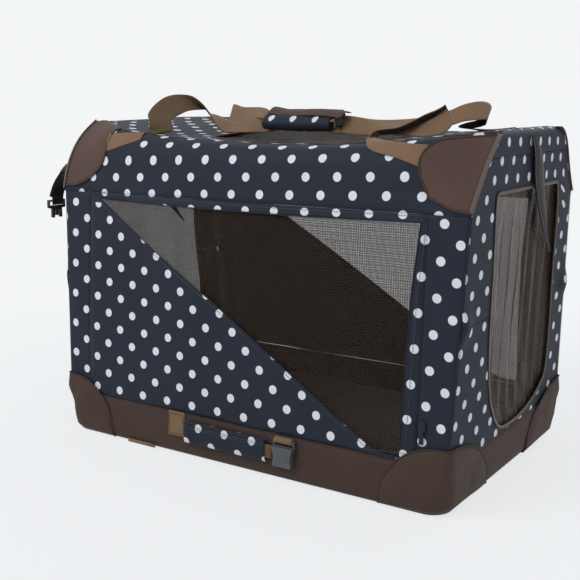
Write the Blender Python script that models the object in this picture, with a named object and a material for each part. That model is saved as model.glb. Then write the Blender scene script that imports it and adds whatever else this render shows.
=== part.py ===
"""Folding fabric pet carrier on a steel tube frame, at its real size in metres.

+X points to the right end, -Y to the front and +Z up. The origin lies on the floor, under the
middle. The frame is a floor ring, a top ring and, at each end, a lower and an upper hoop that
meet at a knee and fold inwards, so that the top comes straight down on the base.
"""

import math

import bmesh
import bpy
from mathutils import Vector

# Fabric shell
BASE_LENGTH = 0.586
TOP_LENGTH = 0.620
BASE_DEPTH = 0.374
SHOULDER_DEPTH = 0.332
TOP_DEPTH = 0.196
HEIGHT = 0.424
SHOULDER_HEIGHT = 0.344
TOP_SAG = 0.0135
SAG_START = 0.268
SAG_END = 0.235
CLOTH = 0.003
TRIM = 0.0015
NET = 0.0012
FIT = 0.0005

# Base, mat and corner trim
BAND_HEIGHT = 0.057
BASE_CORNER = 0.028
BAND_CORNER = 0.001
BOARD = 0.004
MAT_THICKNESS = 0.022
LOWER_PATCH_WING = 0.076
LOWER_PATCH_HEIGHT = 0.081
LEFT_UPPER_PATCH = 0.050
RIGHT_UPPER_PATCH = 0.084

# Steel frame
TUBE_RADIUS = 0.0065
RING_BEND = 0.030
HOOP_BEND = 0.020
BASE_PIVOT_Z = 0.040
PIVOT_DROP = 0.0165
FOLD_GAP = 0.0017
CLIP_WALL = 0.003
CLIP_WIDTH = 0.022
BASE_CLIP_INSET = 0.062
TOP_CLIP_INSET = 0.042
KNEE_GAP = 0.010
KNEE_TUBE_GAP = 0.0125
EAR_RADIUS = 0.004
EAR_ROOT_RADIUS = 0.005
EAR_ROOT_DROP = 0.018
EAR_THICKNESS = 0.003
PIN_RADIUS = 0.0016
PIN_HEAD_RADIUS = 0.0028
PIN_HEAD = 0.001

# Front and back doors
DOOR_HALF_WIDTH = 0.256
DOOR_TOP = 0.340
DOOR_GAP = 0.001
WINDOW_LEFT = -0.238
WINDOW_RIGHT = 0.246
WINDOW_RIGHT_LOW = 0.234
WINDOW_TOP = 0.331
WINDOW_LOW = 0.068

# End doors
END_DOOR_HALF = 0.113
END_DOOR_LOW = 0.066
END_DOOR_TOP = 0.362
END_DOOR_CORNER = 0.042
PANEL_GAP = 0.0015

# Top window
TOP_WINDOW_HALF_X = 0.160
TOP_WINDOW_HALF_Y = 0.052

# Webbing, handles and buckles
WEBBING = 0.0012
HANDLE_WIDTH = 0.036
HANDLE_REACH = 0.2215
HANDLE_START = 0.205
GRIP_HALF = 0.050
GRIP_Y = -0.022
GRIP_RISE = 0.027
ARCH_RISE = 0.0575
SLACK_RISE = 0.0375
GRIP_WALL = 0.0025
STRAP_STEP = 0.006
TAB_LEFT = -0.109
TAB_WIDTH = 0.028
TAB_LOW = 0.026
SLEEVE_LEFT = -0.077
SLEEVE_RIGHT = 0.053
SLEEVE_HEIGHT = 0.030
SLEEVE_THICKNESS = 0.009
HANDLE_LINE = 0.050
NARROW_WEBBING = 0.025
BUCKLE_X = 0.0795
BUCKLE_WIDTH = 0.031
BUCKLE_LENGTH = 0.034
BUCKLE_THICKNESS = 0.0083
BUCKLE_FRAME = 0.004
BUCKLE_BAR = 0.0025
BUCKLE_SLOT = 0.0055
BUCKLE_SIDE = 0.0022
BAR_CLEAR = 0.0008
SOCKET_WIDTH = 0.020
SOCKET_THICKNESS = 0.0048
SOCKET_DEPTH = 0.017
SIDE_ANCHOR_DROP = 0.0424
SIDE_BUCKLE_REACH = 0.0337
SIDE_BUCKLE_ASIDE = 0.0209
SIDE_BUCKLE_DROP = 0.0584
TIE_WIDTH = 0.020
TIE_TIP = 0.010
TIE_START = 0.002
TIE_ASIDE = 0.082
TIE_DROP = 0.121
SLIDER_WIDTH = 0.009
SLIDER_LENGTH = 0.011
SLIDER_PULL = 0.016
SLIDER_THICKNESS = 0.0025

# Finish colours as sRGB, with roughness and metallic share
FINISHES = {
    "navy_oxford": ("#2e3440", 0.85, 0.0),
    "brown_oxford": ("#5b4843", 0.8, 0.0),
    "brown_band": ("#493833", 0.8, 0.0),
    "brown_mesh": ("#4a3e39", 0.7, 0.0),
    "tan_webbing": ("#7a5f45", 0.75, 0.0),
    "dark_webbing": ("#2a2624", 0.75, 0.0),
    "steel_tube": ("#8e9093", 0.35, 1.0),
    "black_plastic": ("#232426", 0.45, 0.0),
    "grey_plastic": ("#4a4d52", 0.4, 0.0),
    "board": ("#3a2f2b", 0.8, 0.0),
    "fleece": ("#54453e", 0.95, 0.0),
}

SIDES = {"left": -1, "right": 1}
WALLS = {"front": -1, "back": 1}


def side_y(z):
    """Half depth of the shell: the walls lean in, and the shoulder slopes on to the top."""
    if z <= SHOULDER_HEIGHT:
        return (BASE_DEPTH + (SHOULDER_DEPTH - BASE_DEPTH) * z / SHOULDER_HEIGHT) / 2
    share = (z - SHOULDER_HEIGHT) / (HEIGHT - SHOULDER_HEIGHT)
    return (SHOULDER_DEPTH + (TOP_DEPTH - SHOULDER_DEPTH) * share) / 2


def end_x(z):
    """Half length of the shell, whose ends lean outwards to the top."""
    return (BASE_LENGTH + (TOP_LENGTH - BASE_LENGTH) * z / HEIGHT) / 2


SLOPE_RUN = (SHOULDER_DEPTH - TOP_DEPTH) / 2
SLOPE_LENGTH = math.hypot(SLOPE_RUN, HEIGHT - SHOULDER_HEIGHT)
SLOPE_IN = SLOPE_RUN / SLOPE_LENGTH
SLOPE_UP = (HEIGHT - SHOULDER_HEIGHT) / SLOPE_LENGTH
SLOPE_ANGLE = math.atan2(SLOPE_UP, SLOPE_IN)


def slope_inset(distance):
    """How far in along Y a line lies that runs this far under the shoulder's outer face."""
    return distance / SLOPE_UP


# Places that follow from the driving sizes
TOP_MIDDLE_Z = HEIGHT - TOP_SAG
GRIP_Z = TOP_MIDDLE_Z + GRIP_RISE
BASE_CLIP_Y = BASE_DEPTH / 2 - BASE_CLIP_INSET
TOP_CLIP_Y = TOP_DEPTH / 2 - TOP_CLIP_INSET
SIDE_ANCHOR_Z = HEIGHT - SIDE_ANCHOR_DROP
TUBE_SEAT = CLOTH + FIT + TUBE_RADIUS
FLOOR_TUBE_Z = TUBE_SEAT
FLOOR_TUBE_X = end_x(FLOOR_TUBE_Z) - TUBE_SEAT
FLOOR_TUBE_Y = side_y(FLOOR_TUBE_Z) - TUBE_SEAT
TOP_END_Z = HEIGHT - TUBE_SEAT
TOP_LONG_Z = TOP_MIDDLE_Z - TUBE_SEAT
TOP_TUBE_X = end_x(HEIGHT) - TUBE_SEAT
TOP_END_Y = side_y(TOP_END_Z) - slope_inset(TUBE_SEAT)
TOP_LONG_Y = side_y(TOP_LONG_Z) - slope_inset(TUBE_SEAT)
CLIP_RADIUS = TUBE_RADIUS + FIT + CLIP_WALL
CLIP_NECK = 0.7 * TUBE_RADIUS
PIVOT_X = end_x(BASE_PIVOT_Z) - CLOTH - FIT - CLIP_RADIUS
TOP_PIVOT_Z = TOP_END_Z - PIVOT_DROP
KNEE_Z = (BASE_PIVOT_Z + TOP_PIVOT_Z) / 2
KNEE_X = end_x(KNEE_Z) + FOLD_GAP / 2
DOOR_LOW = BAND_HEIGHT + 0.0025
STRIP_TOP = DOOR_TOP + DOOR_GAP
SIDE_ANCHOR_Y = slope_inset(CLOTH) - side_y(SIDE_ANCHOR_Z)
SIDE_BUCKLE_X = -end_x(SIDE_ANCHOR_Z) - SIDE_BUCKLE_REACH
SIDE_BUCKLE_Y = SIDE_ANCHOR_Y - SIDE_BUCKLE_ASIDE
SIDE_BUCKLE_Z = SIDE_ANCHOR_Z - SIDE_BUCKLE_DROP


def post_x(z):
    """Where a hoop's post runs, just inside the end fabric."""
    return end_x(z) - TUBE_SEAT


WALL_LEAN = (BASE_DEPTH - SHOULDER_DEPTH) / 2 / SHOULDER_HEIGHT
SLOPE_LEAN = SLOPE_RUN / (HEIGHT - SHOULDER_HEIGHT)
POST_INSET = TUBE_SEAT + FIT
BEND_Z = SHOULDER_HEIGHT - (slope_inset(POST_INSET) - POST_INSET) / (SLOPE_LEAN - WALL_LEAN)


def post_y(z):
    under_wall = BASE_DEPTH / 2 - WALL_LEAN * z - POST_INSET
    under_slope = SHOULDER_DEPTH / 2 - SLOPE_LEAN * (z - SHOULDER_HEIGHT) - slope_inset(POST_INSET)
    return min(under_wall, under_slope)


KNEE_Y = post_y(KNEE_Z)

# Joint places: each empty stands on its joint's axis
PIVOTS = {
    "base": ((0, 0, 0), None),
    "left_lower_pivot": ((-PIVOT_X, 0, BASE_PIVOT_Z), "base"),
    "left_knee_pivot": ((-KNEE_X, 0, KNEE_Z), "left_lower_pivot"),
    "top_pivot": ((-PIVOT_X, 0, TOP_PIVOT_Z), "left_knee_pivot"),
    "right_lower_pivot": ((PIVOT_X, 0, BASE_PIVOT_Z), "base"),
    "right_knee_pivot": ((KNEE_X, 0, KNEE_Z), "right_lower_pivot"),
    "front_door_hinge": ((0, -side_y(DOOR_TOP), DOOR_TOP), "base"),
    "back_door_hinge": ((0, side_y(DOOR_TOP), DOOR_TOP), "base"),
    "left_door_hinge": ((-end_x(END_DOOR_TOP), 0, END_DOOR_TOP), "left_knee_pivot"),
    "right_door_hinge": ((end_x(END_DOOR_TOP), 0, END_DOOR_TOP), "right_knee_pivot"),
    "carry_handle_lift": ((0, GRIP_Y, GRIP_Z), "top_pivot"),
    "front_handle_hinge": ((0, -side_y(HANDLE_LINE) - 0.003, HANDLE_LINE), "base"),
    "buckle_bar": ((BUCKLE_X, -side_y(HANDLE_LINE) - 0.0045, 0.0528), "base"),
    "side_strap_hinge": ((-end_x(SIDE_ANCHOR_Z) - FIT, SIDE_ANCHOR_Y, SIDE_ANCHOR_Z), "top_pivot"),
    "strap_buckle_bar": ((SIDE_BUCKLE_X, SIDE_BUCKLE_Y, SIDE_BUCKLE_Z), "side_strap_hinge"),
    "front_slider_path": ((0, -side_y(DOOR_LOW), DOOR_LOW), "base"),
    "back_slider_path": ((0, side_y(DOOR_LOW), DOOR_LOW), "base"),
}


def srgb(text):
    """A hex colour as linear values with alpha."""
    shares = [int(text[i : i + 2], 16) / 255 for i in (1, 3, 5)]
    return [s / 12.92 if s <= 0.04045 else ((s + 0.055) / 1.055) ** 2.4 for s in shares] + [1.0]


def clear_scene():
    for obj in list(bpy.data.objects):
        bpy.data.objects.remove(obj, do_unlink=True)


def make_finishes():
    for name, (colour, roughness, metallic) in FINISHES.items():
        material = bpy.data.materials.new(name)
        material.use_nodes = True
        shader = material.node_tree.nodes["Principled BSDF"]
        shader.inputs["Base Color"].default_value = srgb(colour)
        shader.inputs["Roughness"].default_value = roughness
        shader.inputs["Metallic"].default_value = metallic
        material.diffuse_color = srgb(colour)


def make_pivots():
    for name, (place, parent) in PIVOTS.items():
        pivot = bpy.data.objects.new(name, None)
        pivot.empty_display_size = 0.03
        bpy.context.scene.collection.objects.link(pivot)
        base = Vector((0, 0, 0))
        if parent:
            pivot.parent = bpy.data.objects[parent]
            base = Vector(PIVOTS[parent][0])
        pivot.location = Vector(place) - base


def add_piece(name, bm, finish, pivot="base", smooth=False):
    """Makes an object from world points, with its own origin at its middle, under its pivot."""
    bmesh.ops.recalc_face_normals(bm, faces=bm.faces)
    lows = [min(v.co[i] for v in bm.verts) for i in range(3)]
    highs = [max(v.co[i] for v in bm.verts) for i in range(3)]
    middle = (Vector(lows) + Vector(highs)) / 2
    bmesh.ops.translate(bm, vec=-middle, verts=bm.verts)
    mesh = bpy.data.meshes.new(name)
    bm.to_mesh(mesh)
    bm.free()
    piece = bpy.data.objects.new(name, mesh)
    bpy.context.scene.collection.objects.link(piece)
    piece.parent = bpy.data.objects[pivot]
    piece.location = middle - Vector(PIVOTS[pivot][0])
    mesh.materials.append(bpy.data.materials[finish])
    if smooth:
        mesh.shade_smooth()
        mesh.set_sharp_from_angle(angle=math.radians(35))
    return piece


def change(piece, helper, operation):
    """Joins a helper shape to a piece, or cuts it out, with an exact Boolean."""
    modifier = piece.modifiers.new(operation.title(), "BOOLEAN")
    modifier.operation = operation
    modifier.object = helper
    helper.hide_render = True
    helper.display_type = "WIRE"


def outline_solid(outline, push, holes=()):
    """A flat outline with holes, pushed out to a plate."""
    bm = bmesh.new()
    edges = []
    for loop in (outline, *holes):
        corners = [bm.verts.new(point) for point in loop]
        edges += [bm.edges.new(pair) for pair in zip(corners, corners[1:] + corners[:1])]
    bmesh.ops.triangle_fill(bm, use_beauty=True, edges=edges)
    copied = bmesh.ops.extrude_face_region(bm, geom=bm.faces[:])["geom"]
    moved = [item for item in copied if isinstance(item, bmesh.types.BMVert)]
    bmesh.ops.translate(bm, vec=push, verts=moved)
    return bm


def loft(sections, closed=False):
    """A skin over loops of equal counts, capped at both ends or closed on itself."""
    bm = bmesh.new()
    rings = [[bm.verts.new(point) for point in section] for section in sections]
    pairs = list(zip(rings, rings[1:] + rings[:1] if closed else rings[1:]))
    for ring, following in pairs:
        for i in range(len(ring)):
            j = (i + 1) % len(ring)
            bm.faces.new((ring[i], ring[j], following[j], following[i]))
    if not closed:
        bm.faces.new(rings[0][::-1])
        bm.faces.new(rings[-1])
    return bm


def rounded_loop(half_x, half_y, radius, z, steps=4):
    """A rounded rectangle at one height."""
    points = []
    for i, (sx, sy) in enumerate(((1, 1), (-1, 1), (-1, -1), (1, -1))):
        for k in range(steps + 1):
            angle = math.pi / 2 * (i + k / steps)
            x = sx * (half_x - radius) + radius * math.cos(angle)
            y = sy * (half_y - radius) + radius * math.sin(angle)
            points.append(Vector((x, y, z)))
    return points


def rounded_path(corners, radius, steps=5, closed=False):
    """Straight runs with an arc of one radius at each corner, as a bent tube has."""
    corners = [Vector(corner) for corner in corners]
    path = [] if closed else [corners[0]]
    count = len(corners)
    for i in range(0 if closed else 1, count if closed else count - 1):
        corner = corners[i]
        back = (corners[i - 1] - corner).normalized()
        ahead = (corners[(i + 1) % count] - corner).normalized()
        half = back.angle(ahead) / 2
        centre = corner + (back + ahead).normalized() * radius / math.sin(half)
        start = corner + back * radius / math.tan(half) - centre
        end = corner + ahead * radius / math.tan(half) - centre
        turns = [start.slerp(end, k / steps).normalized() for k in range(steps + 1)]
        path += [centre + turn * radius for turn in turns]
    return path if closed else path + [corners[-1]]


def tube(path, radius, resolution=3, closed=False):
    """A round tube along a path, through a bevelled curve with filled caps."""
    curve = bpy.data.curves.new("tube_path", "CURVE")
    curve.dimensions = "3D"
    curve.bevel_depth = radius
    curve.bevel_resolution = resolution
    curve.use_fill_caps = True
    spline = curve.splines.new("POLY")
    spline.points.add(len(path) - 1)
    for point, place in zip(spline.points, path):
        point.co = (*place, 1)
    spline.use_cyclic_u = closed
    guide = bpy.data.objects.new("tube_path", curve)
    bpy.context.scene.collection.objects.link(guide)
    bpy.context.view_layer.update()
    mesh = bpy.data.meshes.new_from_object(guide.evaluated_get(bpy.context.evaluated_depsgraph_get()))
    bm = bmesh.new()
    bm.from_mesh(mesh)
    bmesh.ops.remove_doubles(bm, verts=bm.verts, dist=0.00001)
    bpy.data.objects.remove(guide, do_unlink=True)
    bpy.data.curves.remove(curve)
    bpy.data.meshes.remove(mesh)
    return bm


def rod(start, end, radius, resolution=4):
    return tube([Vector(start), Vector(end)], radius, resolution)


def arc(centre_u, centre_v, radius, start, end, steps):
    """Points of an arc in a plane, with its angles in degrees."""
    angles = [math.radians(start + (end - start) * k / steps) for k in range(steps + 1)]
    return [(centre_u + radius * math.cos(a), centre_v + radius * math.sin(a)) for a in angles]


def taper_outline(first, first_radius, second, second_radius, steps=8):
    """The outline round two circles of the XZ plane."""
    run = (second[0] - first[0], second[1] - first[1])
    heading = math.degrees(math.atan2(run[1], run[0]))
    lean = math.degrees(math.acos((first_radius - second_radius) / math.hypot(*run)))
    round_first = arc(*first, first_radius, heading + lean, heading + 360 - lean, steps * 2)
    round_second = arc(*second, second_radius, heading - lean, heading + lean, steps)
    return round_first + round_second


def across(points, y):
    """Points of the XZ plane, placed at one depth."""
    return [Vector((x, y, z)) for x, z in points]


def on_wall(x, z, wall, out=0.0):
    """A point of the front or back wall, or of its shoulder, moved out by a distance."""
    if z <= SHOULDER_HEIGHT:
        return Vector((x, wall * (side_y(z) + out), z))
    return Vector((x, wall * (side_y(z) + out * SLOPE_UP), z + out * SLOPE_IN))


def on_end(y, z, side, out=0.0):
    """A point of an end panel, moved out by a distance."""
    return Vector((side * (end_x(z) + out), y, z))


def base_loop(z, inset=0.0):
    """The shell's outline at a height of the base, whose corners tighten as they rise."""
    share = min(z / BAND_HEIGHT, 1)
    radius = BASE_CORNER + (BAND_CORNER - BASE_CORNER) * share
    return rounded_loop(end_x(z) - inset, side_y(z) - inset, max(radius - inset, 0.004), z)


def make_base():
    """The brown fabric tray, the ring, the board and the mat that stand on the floor."""
    edge = CLOTH
    walls = [base_loop(0, edge), base_loop(edge, 0), base_loop(BAND_HEIGHT, 0)]
    walls += [base_loop(BAND_HEIGHT, CLOTH), base_loop(CLOTH, CLOTH)]
    add_piece("base_tray", loft(walls), "brown_band", smooth=True)

    ring = [(FLOOR_TUBE_X, FLOOR_TUBE_Y), (-FLOOR_TUBE_X, FLOOR_TUBE_Y)]
    ring += [(-FLOOR_TUBE_X, -FLOOR_TUBE_Y), (FLOOR_TUBE_X, -FLOOR_TUBE_Y)]
    path = rounded_path([(x, y, FLOOR_TUBE_Z) for x, y in ring], RING_BEND, closed=True)
    add_piece("base_frame_tube", tube(path, TUBE_RADIUS, closed=True), "steel_tube", smooth=True)

    board_x = FLOOR_TUBE_X - TUBE_RADIUS - FIT
    board_y = FLOOR_TUBE_Y - TUBE_RADIUS - FIT
    board_radius = RING_BEND - TUBE_RADIUS
    board_low = CLOTH + FIT
    board_high = board_low + BOARD
    levels = [rounded_loop(board_x, board_y, board_radius, z) for z in (board_low, board_high)]
    add_piece("floor_board", loft(levels), "board")

    mat_x = PIVOT_X - CLIP_RADIUS - FIT
    mat_y = board_y - FIT
    mat_low = board_high + FIT
    crown = ((0.006, 0.0), (0.0, 0.3), (0.002, 0.62), (0.010, 0.82), (0.045, 0.94), (0.110, 1.0))
    levels = []
    for inset, share in crown:
        z = mat_low + share * MAT_THICKNESS
        levels.append(rounded_loop(mat_x - inset, mat_y - inset, board_radius, z, steps=5))
    add_piece("floor_mat", loft(levels), "fleece", smooth=True)


def make_clip(name, pivot_place, tube_place, y, pivot):
    """A plastic saddle: it holds a ring's tube and carries the hoop's cross tube in a bore."""
    outline = taper_outline(pivot_place, CLIP_RADIUS, tube_place, CLIP_NECK)
    bore = arc(*pivot_place, TUBE_RADIUS + FIT, 0, 345, 23)
    width = Vector((0, CLIP_WIDTH, 0))
    low = y - CLIP_WIDTH / 2
    plate = outline_solid(across(outline, low), width, [across(bore, low)])
    clip = add_piece(name, plate, "black_plastic", pivot)
    ends = [Vector((tube_place[0], y + step * CLIP_WIDTH, tube_place[1])) for step in (-1, 1)]
    seat = add_piece("cut_" + name, rod(*ends, TUBE_RADIUS + FIT), "black_plastic", pivot)
    change(clip, seat, "DIFFERENCE")


def make_clips():
    for side_name, side in SIDES.items():
        for wall_name, wall in WALLS.items():
            place = f"{wall_name}_{side_name}"
            lower = ((side * PIVOT_X, BASE_PIVOT_Z), (side * FLOOR_TUBE_X, FLOOR_TUBE_Z))
            make_clip(f"base_clip_{place}", *lower, wall * BASE_CLIP_Y, "base")
            upper = ((side * PIVOT_X, TOP_PIVOT_Z), (side * TOP_TUBE_X, TOP_END_Z))
            make_clip(f"top_clip_{place}", *upper, wall * TOP_CLIP_Y, "top_pivot")


def add_ears(hoop, name, side, up, layer, pivot):
    """Flat ears at both posts of a hoop. Those of the two hoops lie beside each other."""
    root_z = KNEE_Z + up * EAR_ROOT_DROP
    root = (side * post_x(root_z), root_z)
    knee = (side * KNEE_X, KNEE_Z)
    outline = taper_outline(root, EAR_ROOT_RADIUS, knee, EAR_RADIUS)
    hole = arc(*knee, PIN_RADIUS + FIT / 2, 0, 330, 11)
    for wall_name, wall in WALLS.items():
        low = wall * (KNEE_Y + layer * (FIT + EAR_THICKNESS) / 2) - EAR_THICKNESS / 2
        push = Vector((0, EAR_THICKNESS, 0))
        plate = outline_solid(across(outline, low), push, [across(hole, low)])
        ear = add_piece(f"join_{name}_{wall_name}", plate, "steel_tube", pivot)
        change(hoop, ear, "UNION")


def make_hoops():
    """The four hoops: each end has a lower and an upper one, which meet at the knee."""
    for side_name, side in SIDES.items():
        low_z = KNEE_Z - KNEE_TUBE_GAP
        half = [(side * post_x(low_z), -post_y(low_z), low_z)]
        half += [(side * PIVOT_X, -post_y(BASE_PIVOT_Z), BASE_PIVOT_Z)]
        corners = half + [(x, -y, z) for x, y, z in half[::-1]]
        body = tube(rounded_path(corners, HOOP_BEND), TUBE_RADIUS, 4)
        pivot = f"{side_name}_lower_pivot"
        hoop = add_piece(f"{side_name}_lower_hoop", body, "steel_tube", pivot, smooth=True)
        add_ears(hoop, f"{side_name}_lower_ear", side, -1, -1, pivot)

        high_z = KNEE_Z + KNEE_TUBE_GAP
        bend_z = BEND_Z
        half = [(side * post_x(high_z), -post_y(high_z), high_z)]
        half += [(side * post_x(bend_z), -post_y(bend_z), bend_z)]
        half += [(side * PIVOT_X, -post_y(TOP_PIVOT_Z), TOP_PIVOT_Z)]
        corners = half + [(x, -y, z) for x, y, z in half[::-1]]
        body = tube(rounded_path(corners, HOOP_BEND), TUBE_RADIUS, 4)
        pivot = f"{side_name}_knee_pivot"
        hoop = add_piece(f"{side_name}_upper_hoop", body, "steel_tube", pivot, smooth=True)
        add_ears(hoop, f"{side_name}_upper_ear", side, 1, 1, pivot)

        reach = EAR_THICKNESS + FIT
        for wall_name, wall in WALLS.items():
            middle = wall * KNEE_Y
            sizes = [(reach + PIN_HEAD, PIN_HEAD_RADIUS), (reach, PIN_HEAD_RADIUS), (reach, PIN_RADIUS)]
            sizes += [(-distance, radius) for distance, radius in sizes[::-1]]
            rings = []
            for distance, radius in sizes:
                circle = arc(side * KNEE_X, KNEE_Z, radius, 0, 330, 11)
                rings.append(across(circle, middle + distance))
            add_piece(f"knee_pin_{wall_name}_{side_name}", loft(rings), "steel_tube", pivot, smooth=True)


def make_top_ring():
    """The top ring, whose long tubes run a little lower than its ends."""
    half = [(TOP_TUBE_X, -TOP_END_Y, TOP_END_Z), (TOP_TUBE_X, TOP_END_Y, TOP_END_Z)]
    half += [(SAG_START, TOP_END_Y, TOP_END_Z), (SAG_END, TOP_LONG_Y, TOP_LONG_Z)]
    half += [(-SAG_END, TOP_LONG_Y, TOP_LONG_Z), (-SAG_START, TOP_END_Y, TOP_END_Z)]
    corners = half + [(-x, -y, z) for x, y, z in half]
    path = rounded_path(corners, HOOP_BEND, 4, closed=True)
    add_piece("top_frame_tube", tube(path, TUBE_RADIUS, closed=True), "steel_tube", "top_pivot", True)


def make_walls():
    """The strips beside each door and the sloping shoulder above it."""
    for wall_name, wall in WALLS.items():
        inwards = Vector((0, -wall * CLOTH, 0))
        low = BAND_HEIGHT + FIT
        for side_name, side in SIDES.items():
            edge = side * (DOOR_HALF_WIDTH + DOOR_GAP)
            corners = [(edge, low), (side * end_x(low), low)]
            corners += [(side * end_x(STRIP_TOP), STRIP_TOP), (edge, STRIP_TOP)]
            strip = outline_solid([on_wall(x, z, wall) for x, z in corners], inwards)
            add_piece(f"{wall_name}_side_{side_name}", strip, "navy_oxford")

        half = [(end_x(SHOULDER_HEIGHT), SHOULDER_HEIGHT), (end_x(HEIGHT), HEIGHT)]
        half += [(SAG_START, HEIGHT), (SAG_END, TOP_MIDDLE_Z)]
        corners = half + [(-x, z) for x, z in half[::-1]]
        under = Vector((0, -wall * CLOTH * SLOPE_UP, -CLOTH * SLOPE_IN))
        shoulder = outline_solid([on_wall(x, z, wall) for x, z in corners], under)
        add_piece(f"{wall_name}_shoulder", shoulder, "navy_oxford")


def make_doors():
    """Each long wall's door: a diagonal fabric panel with its border, and the net beside it."""
    top, low, half = DOOR_TOP, DOOR_LOW, DOOR_HALF_WIDTH
    border = [(-half, low), (half, low), (half, top), (-half, top)]
    window = [(WINDOW_LEFT, WINDOW_TOP), (WINDOW_RIGHT_LOW, WINDOW_LOW), (WINDOW_RIGHT, WINDOW_TOP)]
    middle = [sum(place) / 3 for place in zip(*window)]
    shrink = 1 - 4 * FIT / (WINDOW_TOP - WINDOW_LOW)
    net = [(middle[0] + (x - middle[0]) * shrink, middle[1] + (z - middle[1]) * shrink) for x, z in window]
    for wall_name, wall in WALLS.items():
        pivot = f"{wall_name}_door_hinge"
        outline = [on_wall(x, z, wall) for x, z in border]
        hole = [on_wall(x, z, wall) for x, z in window]
        panel = outline_solid(outline, Vector((0, -wall * CLOTH, 0)), [hole])
        add_piece(f"{wall_name}_door_panel", panel, "navy_oxford", pivot)
        outline = [on_wall(x, z, wall, -FIT) for x, z in net]
        sheet = outline_solid(outline, Vector((0, -wall * NET, 0)))
        add_piece(f"{wall_name}_door_mesh", sheet, "brown_mesh", pivot)


def half_outline(points):
    """An outline of the YZ plane that is alike on both sides, from its half at +Y."""
    return points + [(-y, z) for y, z in points[::-1]]


def make_ends():
    """The end panels round each end door, split at the knee, and the door's own net."""
    low = BAND_HEIGHT + FIT
    knee_low, knee_high = KNEE_Z - KNEE_GAP, KNEE_Z + KNEE_GAP
    high = TOP_PIVOT_Z + FIT
    radius = END_DOOR_CORNER
    inner_y = END_DOOR_HALF - radius
    inset = CLOTH + PANEL_GAP
    slope = slope_inset(CLOTH) + PANEL_GAP
    opening_low = arc(inner_y, END_DOOR_LOW + radius, radius, 0, -90, 6)
    # A notch at each outer corner lets the knee's ears and pin through.
    notch_y = KNEE_Y - EAR_THICKNESS - PIN_HEAD - 3 * FIT
    notch_low = KNEE_Z - EAR_ROOT_DROP - 2 * FIT
    notch_high = KNEE_Z + EAR_ROOT_DROP + 2 * FIT
    lower = [(side_y(low) - inset, low), (side_y(notch_low) - inset, notch_low)]
    lower += [(notch_y, notch_low), (notch_y, knee_low), (END_DOOR_HALF, knee_low)] + opening_low
    lower_outline = lower + [(-y, z) for y, z in lower[::-1]]

    opening_high = arc(inner_y, END_DOOR_TOP - radius, radius, 90, 0, 6)
    upper = opening_high + [(END_DOOR_HALF, knee_high), (notch_y, knee_high)]
    upper += [(notch_y, notch_high), (side_y(notch_high) - inset, notch_high)]
    upper += [(side_y(SHOULDER_HEIGHT) - inset, SHOULDER_HEIGHT), (side_y(high) - slope, high)]
    upper_outline = half_outline(upper)

    door_half = END_DOOR_HALF - DOOR_GAP
    door_low, door_top = END_DOOR_LOW + DOOR_GAP, END_DOOR_TOP - DOOR_GAP
    small = radius - DOOR_GAP
    door = arc(door_half - small, door_low + small, small, -90, 0, 6)
    door += arc(door_half - small, door_top - small, small, 0, 90, 6)
    door_outline = half_outline(door)

    # The strap hangs from the top of the end and swings aside towards its tip
    shares = (0.0, 0.2, 0.5, 0.75, 1.0)
    tie = [(TIE_START + TIE_ASIDE * s**2, high - 2 * FIT - TIE_DROP * s) for s in shares]
    for side_name, side in SIDES.items():
        inwards = Vector((-side * CLOTH, 0, 0))
        panel = outline_solid([on_end(y, z, side) for y, z in lower_outline], inwards)
        pivot = f"{side_name}_lower_pivot"
        add_piece(f"{side_name}_end_lower", panel, "navy_oxford", pivot)
        panel = outline_solid([on_end(y, z, side) for y, z in upper_outline], inwards)
        pivot = f"{side_name}_knee_pivot"
        add_piece(f"{side_name}_end_upper", panel, "navy_oxford", pivot)
        sheet = [on_end(y, z, side, -FIT) for y, z in door_outline]
        net = outline_solid(sheet, Vector((-side * NET, 0, 0)))
        add_piece(f"{side_name}_door_mesh", net, "brown_mesh", f"{side_name}_door_hinge")

        sections = []
        for i, (y, z) in enumerate(tie):
            half = (TIE_WIDTH + (TIE_TIP - TIE_WIDTH) * i / (len(tie) - 1)) / 2
            edge = [on_end(y + step * half, z, side, FIT) for step in (-1, 1)]
            edge += [on_end(y + step * half, z, side, FIT + TRIM) for step in (1, -1)]
            sections.append(edge)
        add_piece(f"tie_strap_{side_name}", loft(sections), "dark_webbing", pivot)


def make_top_panel():
    """The top fabric: it sags between the ends and folds down over them, with its window."""
    inset = slope_inset(CLOTH) + FIT
    rim_z = TOP_PIVOT_Z + 4 * FIT
    profile = [(end_x(rim_z), rim_z, -1, 0), (end_x(HEIGHT), HEIGHT, -1, -1)]
    profile += [(SAG_START, HEIGHT, 0, -1), (SAG_END, TOP_MIDDLE_Z, 0, -1)]
    stations = profile + [(-x, z, -dx, dz) for x, z, dx, dz in profile[::-1]]
    sections = []
    for x, z, dx, dz in stations:
        reach = side_y(z) - inset
        inner_x, inner_z = x + dx * CLOTH, z + dz * CLOTH
        edge = [Vector((x, -reach, z)), Vector((x, reach, z))]
        edge += [Vector((inner_x, reach, inner_z)), Vector((inner_x, -reach, inner_z))]
        sections.append(edge)
    panel = add_piece("top_panel", loft(sections), "navy_oxford", "top_pivot")
    half_x, half_y = TOP_WINDOW_HALF_X, TOP_WINDOW_HALF_Y
    levels = [TOP_MIDDLE_Z - 0.01, TOP_MIDDLE_Z + 0.01]
    cutter = loft([rounded_loop(half_x, half_y, 0.02, z) for z in levels])
    change(panel, add_piece("cut_top_window", cutter, "navy_oxford", "top_pivot"), "DIFFERENCE")
    levels = [TOP_MIDDLE_Z - FIT - NET, TOP_MIDDLE_Z - FIT]
    net = loft([rounded_loop(half_x - FIT, half_y - FIT, 0.02 - FIT, z) for z in levels])
    add_piece("top_window_mesh", net, "brown_mesh", "top_pivot")


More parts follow.
